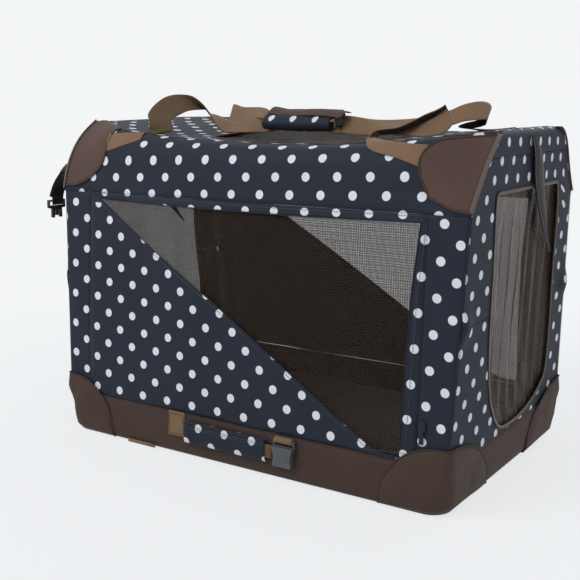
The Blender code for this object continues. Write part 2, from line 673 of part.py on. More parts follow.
def make_patches():
    """Brown corner patches: round the base's corners, and on the shoulders' ends."""
    wing = LOWER_PATCH_WING
    height = LOWER_PATCH_HEIGHT
    round_off = 0.030
    low = 0.002
    for wall_name, wall in WALLS.items():
        for side_name, side in SIDES.items():
            sections = []
            straight = [1.0, 0.9, 0.75, 0.6, 0.4]
            for t in straight + [None] * 5 + straight[::-1]:
                sections.append(t)
            points = []
            for i, t in enumerate(sections):
                along = i >= len(straight) + 5
                turn = (i - len(straight)) / 4 if t is None else None
                far = wing * t if t is not None else 0
                fade = max(0.0, far - (wing - round_off)) / round_off
                top = height - round_off * (1 - math.sqrt(max(0.0, 1 - fade * fade)))
                levels = [low, min(BAND_HEIGHT, 0.8 * top), top]
                edge = [patch_point(side, wall, z, FIT, far, along, turn) for z in levels]
                outer = FIT + TRIM
                edge += [patch_point(side, wall, z, outer, far, along, turn) for z in levels[::-1]]
                points.append(edge)
            name = f"lower_patch_{wall_name}_{side_name}"
            add_piece(name, loft(points), "brown_oxford", smooth=True)

            reach = LEFT_UPPER_PATCH if side < 0 else RIGHT_UPPER_PATCH
            make_upper_patch(f"upper_patch_{wall_name}_{side_name}", side, wall, reach)


def patch_point(side, wall, z, out, far, along_end, turn):
    """A point outside the base's corner: on the long wall, on the end, or round the corner."""
    share = min(z / BAND_HEIGHT, 1)
    radius = BASE_CORNER + (BAND_CORNER - BASE_CORNER) * share
    half_x, half_y = end_x(z), side_y(z)
    if turn is not None:
        angle = math.pi / 2 * turn
        x = half_x - radius + (radius + out) * math.sin(angle)
        y = half_y - radius + (radius + out) * math.cos(angle)
    elif along_end:
        x, y = half_x + out, half_y - max(far, radius + 0.001)
    else:
        x, y = half_x - max(far, radius + 0.001), half_y + out
    return Vector((side * x, wall * y, z))


def make_upper_patch(name, side, wall, reach):
    """A rounded patch on the shoulder's end, up to its fold."""
    edge = 0.0015
    low, high = SHOULDER_HEIGHT + edge, HEIGHT - edge
    inner = end_x(low) - reach
    radius = 0.4 * (high - low)
    outline = [(end_x(low) - edge, low)]
    outline += arc(inner + radius, low + radius, radius, -90, -180, 5)
    outline += arc(inner + radius, high - radius, radius, 180, 90, 5)
    outline += [(end_x(high) - edge, high)]
    lift = Vector((0, wall * TRIM * SLOPE_UP, TRIM * SLOPE_IN))
    patch = outline_solid([on_wall(side * x, z, wall, FIT) for x, z in outline], lift)
    add_piece(name, patch, "brown_oxford")


def ribbon(path, width, thickness):
    """Flat webbing along a path. Each point gives x, y, z and the tilt of its width from Y."""
    centres = [Vector(point[:3]) for point in path]
    sections = []
    for i, (*_, tilt) in enumerate(path):
        run = centres[min(i + 1, len(path) - 1)] - centres[max(i - 1, 0)]
        across_it = Vector((0, math.cos(tilt), math.sin(tilt)))
        across_it *= width / 2
        normal = run.cross(across_it).normalized() * thickness / 2
        place = centres[i]
        sections.append(
            [
                place - across_it - normal,
                place + across_it - normal,
                place + across_it + normal,
                place - across_it + normal,
            ]
        )
    return loft(sections)


def smooth_path(points, steps=3):
    """Points read from a Catmull-Rom curve through the given ones."""
    ends = [points[0], *points, points[-1]]
    path = []
    for a, b, c, d in zip(ends, ends[1:], ends[2:], ends[3:]):
        for k in range(steps):
            t = k / steps
            weights = (
                (-t + 2 * t**2 - t**3) / 2,
                (2 - 5 * t**2 + 3 * t**3) / 2,
                (t + 4 * t**2 - 3 * t**3) / 2,
                (t**3 - t**2) / 2,
            )
            parts = zip(a, b, c, d)
            path.append(tuple(sum(w * v for w, v in zip(weights, four)) for four in parts))
    return path + [points[-1]]


def make_carry_handle():
    """Two long webbing handles, sewn along the shoulders, and the grip that wraps both."""
    seat = FIT + WEBBING / 2
    for wall_name, wall in WALLS.items():
        tilt = -wall * SLOPE_ANGLE
        flat_z = TOP_MIDDLE_Z - 0.5 * HANDLE_WIDTH * SLOPE_UP
        flat = on_wall(0, flat_z, wall, seat)
        grip = (GRIP_HALF + HANDLE_WIDTH / 3, GRIP_Y, GRIP_Z + wall * STRAP_STEP / 2, 0)

        def over_top(along, aside, rise, turn, towards_grip=0.0, above=0.0):
            """A point in shares of the sewn end's reach, half the top's depth and a rise."""
            y = wall * aside * TOP_DEPTH / 2 + towards_grip * GRIP_Y
            z = TOP_MIDDLE_Z + rise + wall * above * STRAP_STEP
            return (along * HANDLE_START, y, z, tilt * turn)

        # The left loop stands in an arch. The right one lies slack and rises at its end.
        start = [
            (-HANDLE_START, flat.y, flat.z, tilt),
            over_top(-0.955, 1.0, ARCH_RISE * 0.38, 0.6),
            over_top(-0.935, 0.82, ARCH_RISE * 0.78, 0.3),
            over_top(-0.84, 0.69, ARCH_RISE, 0.1),
            over_top(-0.68, 0.55, ARCH_RISE * 0.92, 0, 0.2),
            over_top(-0.51, 0.31, ARCH_RISE * 0.69, 0, 0.6, 0.33),
            (-grip[0], *grip[1:]),
        ]
        finish = [
            grip,
            over_top(0.51, 0.33, SLACK_RISE * 0.72, 0, 0.5, 0.42),
            over_top(0.68, 0.53, SLACK_RISE * 0.71, 0, 0, 0.5),
            over_top(0.84, 0.73, SLACK_RISE * 0.84, 0.2, 0, 0.33),
            over_top(0.93, 0.89, SLACK_RISE, 0.5),
            over_top(0.985, 1.04, SLACK_RISE * 0.6, 0.75),
            (HANDLE_START, flat.y, flat.z, tilt),
        ]
        path = [(-HANDLE_REACH, flat.y, flat.z, tilt), *smooth_path(start), *smooth_path(finish)]
        path.append((HANDLE_REACH, flat.y, flat.z, tilt))
        webbing = ribbon(path, HANDLE_WIDTH, WEBBING)
        add_piece(f"carry_handle_{wall_name}", webbing, "tan_webbing", "carry_handle_lift")

    hole_y = HANDLE_WIDTH / 2 + 3 * FIT
    hole_z = STRAP_STEP / 2 + WEBBING + 2 * FIT
    rings = []
    for x, wall_size in ((-1, GRIP_WALL), (1, GRIP_WALL), (1, 0.0), (-1, 0.0)):
        half_y, half_z = hole_y + wall_size, hole_z + wall_size
        loop = rounded_loop(half_y, half_z, min(half_z, half_y) * 0.9, 0)
        rings.append([Vector((x * GRIP_HALF, GRIP_Y + p.x, GRIP_Z + p.y)) for p in loop])
    sleeve = loft(rings, closed=True)
    add_piece("grip_wrap", sleeve, "navy_oxford", "carry_handle_lift", smooth=True)


def buckle_frame(point, sign):
    """The webbing end of a side release buckle: a bar and its slot, centred on the bar.

    point turns width, height and thickness into a place. sign is -1 where the body hangs below.
    """
    half = BUCKLE_WIDTH / 2
    bar = BUCKLE_BAR / 2
    slot = BUCKLE_SLOT
    outline = [(-half, bar), (half, bar), (half, -slot - 0.004), (-half, -slot - 0.004)]
    hole = [(-half + BUCKLE_SIDE, -bar), (half - BUCKLE_SIDE, -bar)]
    hole += [(half - BUCKLE_SIDE, -bar - slot), (-half + BUCKLE_SIDE, -bar - slot)]
    low = -BUCKLE_FRAME / 2
    push = point(0, 0, BUCKLE_FRAME) - point(0, 0, 0)
    outline = [point(u, -sign * v, low) for u, v in outline]
    return outline_solid(outline, push, [[point(u, -sign * v, low) for u, v in hole]])


def webbing_ring(point):
    """The turn of webbing round a buckle's bar, with room for the bar to turn."""
    inner = math.hypot(BUCKLE_FRAME, BUCKLE_BAR) / 2 + BAR_CLEAR
    outer = inner + WEBBING
    square = ((-1, -1), (1, -1), (1, 1), (-1, 1))
    low = -NARROW_WEBBING / 2
    push = point(NARROW_WEBBING, 0, 0) - point(0, 0, 0)
    loops = [[point(low, b * size, a * size) for a, b in square] for size in (outer, inner)]
    return outline_solid(loops[0], push, [loops[1]])


def make_front_handle():
    """The low carry handle of the folded carrier: tab, sleeve, webbing ring and buckle."""
    face = side_y(TAB_LOW) + FIT
    corners = [(TAB_LEFT, TAB_LOW), (TAB_LEFT + TAB_WIDTH, TAB_LOW)]
    corners += [(x, BAND_HEIGHT) for x, _ in corners[::-1]]
    outline = [Vector((x, -face, z)) for x, z in corners]
    tab = outline_solid(outline, Vector((0, -2 * WEBBING, 0)))
    add_piece("front_handle_tab", tab, "tan_webbing")

    middle_y = -(side_y(HANDLE_LINE - SLEEVE_HEIGHT) + FIT + SLEEVE_THICKNESS / 2)
    middle_z = HANDLE_LINE + 0.001 - SLEEVE_HEIGHT / 2
    rings = []
    strap = (2 * WEBBING, 0.6 * SLEEVE_HEIGHT)
    sizes = [(SLEEVE_LEFT - 0.0035, strap), (SLEEVE_LEFT, strap)]
    sizes += [(SLEEVE_LEFT, (SLEEVE_THICKNESS, SLEEVE_HEIGHT))]
    sizes += [(SLEEVE_RIGHT, (SLEEVE_THICKNESS, SLEEVE_HEIGHT))]
    sizes += [(SLEEVE_RIGHT, strap), (SLEEVE_RIGHT + 0.009, strap)]
    for x, (thick, tall) in sizes:
        loop = rounded_loop(thick / 2, tall / 2, thick * 0.45, 0)
        rings.append([Vector((x, middle_y + p.x, middle_z + p.y)) for p in loop])
    sleeve = loft(rings)
    add_piece("front_handle_sleeve", sleeve, "navy_oxford", "front_handle_hinge", smooth=True)

    bar = Vector(PIVOTS["buckle_bar"][0])

    def at_bar(u, v, t):
        return bar + Vector((u, -t, v))

    add_piece("buckle_loop", webbing_ring(at_bar), "tan_webbing")
    frame = add_piece("buckle_female", buckle_frame(at_bar, -1), "grey_plastic", "buckle_bar")
    half = BUCKLE_WIDTH / 2
    neck = -BUCKLE_BAR / 2 - BUCKLE_SLOT - 0.0005
    low = BUCKLE_BAR / 2 - BUCKLE_LENGTH
    waist = (neck + low) / 2
    outline = [(half, neck), (half * 0.8, waist), (half * 0.88, low)]
    outline += [(-u, v) for u, v in outline[::-1]]
    near = -0.0015
    push = Vector((0, -BUCKLE_THICKNESS, 0))
    shell = outline_solid([at_bar(u, v, near) for u, v in outline], push)
    change(frame, add_piece("join_buckle_shell", shell, "grey_plastic", "buckle_bar"), "UNION")
    middle = near + BUCKLE_THICKNESS / 2
    corners = [(-SOCKET_WIDTH / 2, low - 0.002), (SOCKET_WIDTH / 2, low - 0.002)]
    corners += [(u, low + SOCKET_DEPTH) for u, _ in corners[::-1]]
    outline = [at_bar(u, v, middle - SOCKET_THICKNESS / 2) for u, v in corners]
    cavity = outline_solid(outline, Vector((0, -SOCKET_THICKNESS, 0)))
    change(frame, add_piece("cut_buckle_socket", cavity, "grey_plastic", "buckle_bar"), "DIFFERENCE")


def make_side_strap():
    """The strap at the left end, with the other half of the buckle on its end."""
    bar = Vector(PIVOTS["strap_buckle_bar"][0])

    def at_bar(u, v, t):
        return bar + Vector((-t, u, v))

    anchor = PIVOTS["side_strap_hinge"][0]
    ring_top = SIDE_BUCKLE_Z + math.hypot(BUCKLE_FRAME, BUCKLE_BAR) / 2 + BAR_CLEAR + WEBBING
    points = [(anchor[0] - 2 * WEBBING, anchor[1], anchor[2], SLOPE_ANGLE)]
    for share, drop, turn in ((0.36, 0.0, 0.9), (0.74, 0.010, 0.5), (0.95, 0.028, 0.15)):
        x = anchor[0] + (SIDE_BUCKLE_X - anchor[0]) * share
        y = anchor[1] + (SIDE_BUCKLE_Y - anchor[1]) * share
        points.append((x, y, SIDE_ANCHOR_Z - drop, SLOPE_ANGLE * turn))
    points.append((SIDE_BUCKLE_X, SIDE_BUCKLE_Y, ring_top + 0.010, 0))
    points.append((SIDE_BUCKLE_X, SIDE_BUCKLE_Y, ring_top - WEBBING / 2, 0))
    path = [(*anchor, SLOPE_ANGLE), *smooth_path(points)]
    strap = ribbon(path, NARROW_WEBBING, 2 * WEBBING)
    piece = add_piece("side_strap_webbing", strap, "tan_webbing", "side_strap_hinge")
    ring = add_piece("join_strap_ring", webbing_ring(at_bar), "tan_webbing", "side_strap_hinge")
    change(piece, ring, "UNION")

    frame = add_piece("buckle_male", buckle_frame(at_bar, -1), "black_plastic", "strap_buckle_bar")
    half = BUCKLE_WIDTH / 2
    root = -BUCKLE_BAR / 2 - BUCKLE_SLOT - 0.0005
    prong_low = root - SOCKET_DEPTH
    reach = SOCKET_WIDTH / 2 - 2 * FIT
    outline = [(half, root), (half, root - 0.003), (reach, root - 0.004), (reach, prong_low)]
    outline += [(reach - 0.004, prong_low), (reach - 0.004, root - 0.006)]
    outline += [(0.002, root - 0.006), (0.002, prong_low + 0.003)]
    outline += [(-u, v) for u, v in outline[::-1]]
    thick = SOCKET_THICKNESS - 2 * FIT
    corners = [at_bar(u, v, -thick / 2) for u, v in outline]
    prongs = outline_solid(corners, Vector((-thick, 0, 0)))
    change(frame, add_piece("join_prongs", prongs, "black_plastic", "strap_buckle_bar"), "UNION")


def make_sliders():
    """The zip sliders, parked at the low right corner of each long wall's door."""
    half = SLIDER_WIDTH / 2
    middle = DOOR_HALF_WIDTH + DOOR_GAP + FIT + half
    high = LOWER_PATCH_HEIGHT + SLIDER_PULL + SLIDER_LENGTH + 0.002
    neck = high - SLIDER_LENGTH
    outline = [(half, high), (half, neck), (half * 0.55, neck), (half * 0.55, neck - SLIDER_PULL)]
    outline += [(-u, v) for u, v in outline[::-1]]
    for wall_name, wall in WALLS.items():
        place = [on_wall(-wall * middle + u, z, wall, FIT) for u, z in outline]
        plate = outline_solid(place, Vector((0, wall * SLIDER_THICKNESS, 0)))
        add_piece(f"{wall_name}_zip_slider", plate, "black_plastic", f"{wall_name}_slider_path")


def main():
    clear_scene()
    make_finishes()
    make_pivots()
    make_base()
    make_hoops()
    make_top_ring()
    make_clips()
    make_walls()
    make_doors()
    make_ends()
    make_top_panel()
    make_patches()
    make_carry_handle()
    make_front_handle()
    make_side_strap()
    make_sliders()


main()
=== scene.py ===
"""Looks of a folding fabric pet carrier: dotted cloth, nets, webbing, trim and fittings."""

import math

import bmesh
import bpy
from mathutils import Matrix, Vector, noise


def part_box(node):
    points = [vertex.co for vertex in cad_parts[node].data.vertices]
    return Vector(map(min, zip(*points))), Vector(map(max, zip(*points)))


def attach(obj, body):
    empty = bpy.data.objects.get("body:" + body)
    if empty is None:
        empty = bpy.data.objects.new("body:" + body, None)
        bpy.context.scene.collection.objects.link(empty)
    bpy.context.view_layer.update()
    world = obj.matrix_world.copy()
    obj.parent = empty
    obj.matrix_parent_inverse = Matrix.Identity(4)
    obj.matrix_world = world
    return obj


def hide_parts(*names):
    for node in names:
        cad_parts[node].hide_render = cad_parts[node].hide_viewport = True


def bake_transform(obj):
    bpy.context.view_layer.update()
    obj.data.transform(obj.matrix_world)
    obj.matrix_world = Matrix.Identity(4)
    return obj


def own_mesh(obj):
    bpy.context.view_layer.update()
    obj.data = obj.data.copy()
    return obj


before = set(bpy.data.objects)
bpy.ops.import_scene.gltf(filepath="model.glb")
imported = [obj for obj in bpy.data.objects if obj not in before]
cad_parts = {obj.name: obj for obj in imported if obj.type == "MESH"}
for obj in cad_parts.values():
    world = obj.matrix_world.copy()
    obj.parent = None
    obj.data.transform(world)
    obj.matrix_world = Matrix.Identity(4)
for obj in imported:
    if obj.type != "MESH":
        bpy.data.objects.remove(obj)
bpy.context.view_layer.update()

bl_info = {
    "name": "Folding Pet Carrier",
    "version": (1, 0, 0),
    "blender": (4, 5, 0),
    "location": "View3D > Sidebar > Carrier",
    "description": "Dresses the carrier's frame in cloth, nets, webbing and trim",
    "category": "Object",
}

# Places on the shell, in metres, as the CAD model has them
SHOULDER_Z = 0.344
SHELL_TOP = 0.424
BAND_TOP = 0.057
DOOR_TOP = 0.3402
DOOR_EDGE = 0.2565
KNEE_Z = 0.21875
SLOPE_IN, SLOPE_UP = 0.6476, 0.7619
BASE_HALF_X, TOP_HALF_X = 0.293, 0.310
BASE_HALF_Y, SHOULDER_HALF_Y, TOP_HALF_Y = 0.187, 0.166, 0.098
SIDES = {"left": -1, "right": 1}
WALLS = {"front": -1, "back": 1}
PUFF = {(-1, -1): 0.0140, (1, -1): 0.0045, (-1, 1): 0.0090, (1, 1): 0.0120}

# The top's long edges sag and wave. Their height is given along X
RIDGE_X = (-0.310, -0.260, -0.200, -0.124, -0.060, 0.0, 0.060, 0.136, 0.200, 0.250, 0.310)
RIDGE_FRONT = (0.4360, 0.4290, 0.4205, 0.4150, 0.4125, 0.4110)
RIDGE_FRONT += (0.4100, 0.4125, 0.4170, 0.4230, 0.4300)
RIDGE_BACK = (0.4370, 0.4372, 0.4340, 0.4285, 0.4250, 0.4225)
RIDGE_BACK += (0.4210, 0.4205, 0.4212, 0.4258, 0.4300)

# Between its ends the shoulder first stands almost upright and then turns over into the top
UPRIGHT, UPRIGHT_LEAN = 0.040, math.radians(8)
ROUND_EDGE, END_EDGE = 0.128, 0.094

# Flat lengths to which the pieces are cut, up the slope or across the top
SHOULDER_CUT, TOP_CUT, PATCH_CUT = 0.092, 0.118, 0.112
RIM_X = 0.3005

# The long walls' window: its slanting edge sags a little
WINDOW = [(-0.239, 0.3325), (-0.145, 0.3295), (-0.050, 0.3283), (0.108, 0.3283)]
WINDOW += [(0.248, 0.3305), (0.240, 0.247), (0.236, 0.129), (0.2345, 0.0625)]
WINDOW += [(0.212, 0.0625), (0.197, 0.0675), (0.148, 0.0945), (0.095, 0.1270), (0.013, 0.178)]
WINDOW += [(-0.047, 0.215), (-0.136, 0.267)]
WINDOW_SEAM = 0.3270

# The end doors' outline, which is cut unevenly, from the top front corner down and round
END_DOOR = [(-0.1000, 0.3560), (-0.1003, 0.340), (-0.0975, 0.305), (-0.0950, 0.265)]
END_DOOR += [(-0.0938, 0.225), (-0.0905, 0.178), (-0.0835, 0.135), (-0.0735, 0.108)]
END_DOOR += [(-0.0560, 0.082), (-0.0400, 0.0675), (-0.0250, 0.0620), (0.0, 0.0605)]
END_DOOR += [(0.026, 0.0610), (0.052, 0.0650), (0.077, 0.0715), (0.100, 0.0820)]
END_DOOR += [(0.117, 0.0935), (0.1240, 0.108), (0.1255, 0.140), (0.1240, 0.180)]
END_DOOR += [(0.1200, 0.220), (0.1180, 0.260), (0.1185, 0.300), (0.1150, 0.335)]
END_DOOR += [(0.1100, 0.3560), (0.1040, 0.3610), (-0.0950, 0.3610)]
DOOR_MIDDLE = (0.012, 0.211)

# Two dots of each print: where one dot lies, and the pitch both ways
FRONT_PRINT = (-0.2204, 0.2188, 0.0427, 0.0427)
SHOULDER_PRINT = (-0.0134, 0.0055, 0.0434, 0.0428)
PRINT_TURN = 0.040

# The cloth to the right of the window is a cut of its own: its print's place from X, Z and 1
STRIP_PRINT = ((23.652, -1.3535, -5.5901), (1.8136, 24.309, -8.0581))

# The photo's camera: its place, its turn, pitch and roll in degrees, and its focal length
CAMERA_PLACE = (0.7127, -1.1194, 0.4613)
CAMERA_ANGLES = (33.809, 11.048, -0.237)
FOCAL_PIXELS, PICTURE_PIXELS, SENSOR = 963.117, 580, 36.0


def srgb(text):
    """A hex colour as linear red, green and blue."""
    shares = [int(text[i : i + 2], 16) / 255 for i in (1, 3, 5)]
    return [s / 12.92 if s <= 0.04045 else ((s + 0.055) / 1.055) ** 2.4 for s in shares]


def smooth(value, low, high):
    share = min(1.0, max(0.0, (value - low) / (high - low)))
    return share * share * (3 - 2 * share)


def length(name, about, value):
    return bpy.props.FloatProperty(
        name=name, description=about, default=value, min=0.0, unit="LENGTH", precision=5
    )


def tint(name, about, text):
    return bpy.props.FloatVectorProperty(
        name=name, description=about, default=srgb(text), size=3, subtype="COLOR", min=0, max=1
    )


class CarrierSizes(bpy.types.PropertyGroup):
    """Sizes of the cloth, its seams and its trim."""

    cloth: length("Cloth", "Thickness of the coated cloth", 0.0012)
    net: length("Net", "Thickness of the net", 0.0006)
    dot: length("Dot", "Diameter of a printed dot", 0.0111)
    net_cell: length("Net cell", "Spacing at which the net's cells are drawn", 0.0030)
    stitch: length("Stitch", "Length of one stitch", 0.0021)
    stitch_pitch: length("Stitch pitch", "Distance from stitch to stitch", 0.0034)
    piping: length("Piping", "Radius of the corded edge round a patch", 0.0011)
    webbing: length("Webbing", "Thickness of the handles' webbing", 0.0014)
    handle: length("Handle width", "Width of the carry handles' webbing", 0.0360)
    binding: length("Binding", "Width of the tape round a net door", 0.0045)


class CarrierColours(bpy.types.PropertyGroup):
    """Colours of the finishes."""

    navy: tint("Cloth", "Ground of the dotted cloth", "#222733")
    dot: tint("Dots", "Printed dots", "#edf0f8")
    lining: tint("Lining", "Back of the cloth", "#2e2623")
    patch: tint("Patches", "Corner patches", "#54413a")
    patch_low: tint("Low patches", "Patches round the base's corners", "#46362f")
    # lighter than the patches: a painted highlight on the tape along their edges
    patch_edge: tint("Patch edge", "Tape along the patches' edges", "#6b5c57")
    shiny_net: tint("Door net", "Thread of the end doors' net", "#4a3a32")
    seam_thread: tint("Band thread", "Stitches on the band", "#54433c")
    band: tint("Band", "Cloth round the base", "#43332d")
    net: tint("Net", "Thread of the nets", "#33271f")
    tan: tint("Webbing", "Handles and tabs", "#7f644c")
    tan_shade: tint("Webbing turn", "Shaded face of the front handle's left turn", "#57432f")
    # painted shade: a darker copy of the tan webbing for the handles' shaded faces. The low
    # handle's tab stitches also take it as their thread colour
    tan_dark: tint("Webbing back", "Shaded side of the handles", "#3b2d22")
    # on the side strap's lower run this black is painted shadow over tan webbing
    black: tint("Dark webbing", "Side strap and ties", "#1f1e1d")
    binding: tint("Binding", "Tape round the net doors", "#554c40")
    thread: tint("Thread", "Stitches on the cloth", "#4c4f58")
    grey_plastic: tint("Grey plastic", "Low handle's buckle", "#4b4f54")
    black_plastic: tint("Black plastic", "Clips and the side buckle", "#1d1e20")
    steel: tint("Tube", "Powder coat of the frame", "#6f7174")
    zinc: tint("Zinc", "Zip sliders", "#74757a")
    fleece: tint("Mat", "Fleece of the floor mat", "#54453e")
    board: tint("Board", "Cloth on the floor board", "#3a2f2b")
    backdrop: tint("Backdrop", "Floor and background", "#f3f5f7")


def sizes():
    return bpy.context.scene.carrier_sizes


def colours():
    return bpy.context.scene.carrier_colours


# The shell's shape


def end_x(z):
    return BASE_HALF_X + (TOP_HALF_X - BASE_HALF_X) * z / SHELL_TOP


def side_y(z):
    if z <= SHOULDER_Z:
        return BASE_HALF_Y + (SHOULDER_HALF_Y - BASE_HALF_Y) * z / SHOULDER_Z
    share = (z - SHOULDER_Z) / (SHELL_TOP - SHOULDER_Z)
    return SHOULDER_HALF_Y + (TOP_HALF_Y - SHOULDER_HALF_Y) * share


def read_curve(places, values, at):
    """A smooth curve through values at given places, read at one place."""
    at = min(max(at, places[0]), places[-1])
    i = max(k for k in range(len(places) - 1) if places[k] <= at)

    def slope(k):
        a, b = max(k - 1, 0), min(k + 1, len(places) - 1)
        return (values[b] - values[a]) / (places[b] - places[a])

    run = places[i + 1] - places[i]
    t = (at - places[i]) / run
    bend = run * t * (1 - t) * (slope(i) * (1 - t) - slope(i + 1) * t)
    return values[i] + (values[i + 1] - values[i]) * t * t * (3 - 2 * t) + bend


def ridge_z(x, wall):
    """Height of the top's long edge."""
    return read_curve(RIDGE_X, RIDGE_FRONT if wall < 0 else RIDGE_BACK, x)


def rounded(x):
    """1 where the shoulder is round, and 0 at the ends, where it slopes."""
    return 1 - smooth(abs(x), 0.222, 0.312)


def edge_y(x):
    """Half the depth of the top."""
    return END_EDGE + (ROUND_EDGE - END_EDGE) * rounded(x)


def soft(x, y, z, amount, scale):
    """An even, seedless unevenness, such as cloth has between its seams."""
    return amount * noise.noise(Vector((x * scale, y * scale, z * scale)))


def wall_point(x, z, wall, out=0.0):
    return Vector((x, wall * (side_y(z) + out * 0.998), z + out * 0.061))


def round_points(x, wall):
    """Start, turn and end of the shoulder's round, each as depth and height."""
    ridge = ridge_z(x, wall)
    y = side_y(SHOULDER_Z) - UPRIGHT * math.sin(UPRIGHT_LEAN)
    z = SHOULDER_Z + UPRIGHT * math.cos(UPRIGHT_LEAN)
    turn = (y - math.tan(UPRIGHT_LEAN) * (ridge - z), ridge)
    return [Vector(p) for p in ((y, z), turn, (ROUND_EDGE, ridge))]


def round_length(points):
    start, turn, end = points
    return (2 * (end - start).length + (turn - start).length + (end - turn).length) / 3


def slope_length(x, wall):
    """How far it is up the shoulder, from its fold to the top's edge."""
    curved = UPRIGHT + round_length(round_points(x, wall))
    straight = math.hypot(side_y(SHOULDER_Z) - END_EDGE, ridge_z(x, wall) - SHOULDER_Z)
    return straight + (curved - straight) * rounded(x)


def swell(share, side, wall):
    """How far the shoulder's ends stand out. At the back right this sits high."""
    bent = share ** (2.2 if (side, wall) == (1, 1) else 1.0)
    return PUFF[(side, wall)] * math.sin(math.pi * min(bent, 0.985)) ** 0.9


def shoulder_point(x, s, wall, out=0.0):
    """s runs in metres up the shoulder from its lower fold. Below it lies the wall."""
    if s < 0:
        return wall_point(x, SHOULDER_Z + s, wall, out)
    share = min(1.0, s / slope_length(x, wall))
    foot = Vector((side_y(SHOULDER_Z), SHOULDER_Z))
    edge = Vector((END_EDGE, ridge_z(x, wall)))
    along = (edge - foot).normalized()
    sloped_out = Vector((along.y, -along.x))
    sloped = foot.lerp(edge, share) + sloped_out * swell(share, 1 if x > 0 else -1, wall)
    points = round_points(x, wall)
    start, turn, end = points
    curved = round_length(points)
    at = share * (UPRIGHT + curved)
    if at < UPRIGHT:
        place = foot.lerp(start, at / UPRIGHT)
        tangent = start - foot
    else:
        t = (at - UPRIGHT) / curved
        place = start * (1 - t) ** 2 + turn * 2 * t * (1 - t) + end * t * t
        tangent = (turn - start) * (1 - t) + (end - turn) * t
    round_out = Vector((tangent.y, -tangent.x)).normalized()
    place = sloped.lerp(place, rounded(x))
    normal = sloped_out.lerp(round_out, rounded(x)).normalized()
    normal = Vector((0.998, 0.061)).lerp(normal, smooth(s, 0.0, 0.010)).normalized()
    place = place + normal * out
    return Vector((x, wall * place.x, place.y))


def end_width(z, side, wall):
    """Half width of an end at this height, with the shoulder's swell."""
    if z <= SHOULDER_Z:
        return side_y(z)
    share = min(1.0, (z - SHOULDER_Z) / (ridge_z(side * 0.31, wall) - SHOULDER_Z))
    y = side_y(SHOULDER_Z) + (END_EDGE - side_y(SHOULDER_Z)) * share
    return y + swell(share, side, wall) / SLOPE_UP


def corner_point(side, wall, z, far, out=0.0):
    """Round a corner: far is above 0 on the long wall and below 0 on the end."""
    radius = 0.004 + 0.024 * max(0.0, 1 - z / BAND_TOP)
    half_x, half_y = end_x(z), side_y(z)
    if far >= radius:
        return Vector((side * (half_x - far), wall * (half_y + out), z))
    if far <= -radius:
        return Vector((side * (half_x + out), wall * (half_y + far), z))
    angle = (radius - far) / (2 * radius) * math.pi / 2
    x = half_x - radius + (radius + out) * math.sin(angle)
    y = half_y - radius + (radius + out) * math.cos(angle)
    return Vector((side * x, wall * y, z))


def end_point(y, z, side, out=0.0):
    """On an end's face. The cloth stands out a little over the hidden knees."""
    wall = 1 if y > 0 else -1
    wide = end_width(z, side, wall)
    knee = math.exp(-(((z - KNEE_Z) / 0.016) ** 2) - ((abs(y) - 0.163) / 0.016) ** 2)
    p = corner_point(side, wall, z, abs(y) - wide, out)
    return Vector((p.x + side * 0.0052 * knee, p.y + wall * (wide - side_y(z)), z))


def top_point(x, y, out=0.0):
    """On the top. Past its long edges it follows the shoulders' cloth down."""
    wall = 1 if y >= 0 else -1
    edge = edge_y(x)
    if abs(y) > edge:
        return shoulder_point(x, slope_length(x, wall) - (abs(y) - edge), wall, out)
    front, back = ridge_z(x, -1), ridge_z(x, 1)
    z = front + (back - front) * smooth(y, -edge, edge)
    dip = 0.0030 * (1 - min(1.0, abs(x) / 0.27) ** 2) * (1 - (y / edge) ** 2)
    return Vector((x, y, z - dip + out))


def over_point(x, s, wall, out=0.0):
    """Up the shoulder, and on over the top's edge."""
    full = slope_length(x, wall)
    if s <= full:
        return shoulder_point(x, s, wall, out)
    return top_point(x, wall * (edge_y(x) - (s - full)), out)


def shoulder_place(x, s, wall, edge, cut, gap):
    """Where a flat place of a shoulder's piece lies, as X and the way up the slope."""
    rise = max(s, 0.0) / cut * (ridge_z(x, wall) - SHOULDER_Z)
    px = x / edge * end_x(SHOULDER_Z + rise)
    return px, s if s < 0 else s / cut * (slope_length(px, wall) - gap)


# Modelling helpers


def inside(point, outline):
    hit = False
    for a, b in zip(outline, outline[1:] + outline[:1]):
        if (a[1] > point[1]) != (b[1] > point[1]):
            if point[0] < a[0] + (point[1] - a[1]) / (b[1] - a[1]) * (b[0] - a[0]):
                hit = not hit
    return hit


def cut_outline(bm, outline, keep_inside):
    """Cuts the flat sheet along an outline, and drops what lies inside it or outside it."""
    for a, b in zip(outline, outline[1:] + outline[:1]):
        run = Vector((b[0] - a[0], b[1] - a[1], 0)).normalized()
        bmesh.ops.bisect_plane(
            bm,
            geom=bm.verts[:] + bm.edges[:] + bm.faces[:],
            dist=1e-6,
            plane_co=(a[0], a[1], 0),
            plane_no=(run.y, -run.x, 0),
        )
    drop = [f for f in bm.faces if inside(f.calc_center_median(), outline) != keep_inside]
    bmesh.ops.delete(bm, geom=drop, context="FACES")


def print_place(a, b, layout):
    """Where a point of the cloth lies in its print, in dot pitches."""
    return ((a - layout[0]) / layout[2], (b - layout[1]) / layout[3])


def piece(name, bm, materials, wall=0.0, offset=-1.0, shade=True):
    """A mesh object from a bmesh, in place, with a wall where it is a sheet."""
    for face in bm.faces:
        face.smooth = shade
    mesh = bpy.data.meshes.new(name)
    bm.to_mesh(mesh)
    bm.free()
    obj = bpy.data.objects.new(name, mesh)
    bpy.context.scene.collection.objects.link(obj)
    for material in materials:
        mesh.materials.append(material)
    if wall:
        made = obj.modifiers.new("Wall", "SOLIDIFY")
        made.thickness = wall
        made.offset = offset
        made.use_rim = True
        if len(materials) > 1:
            made.material_offset = 1
    return obj


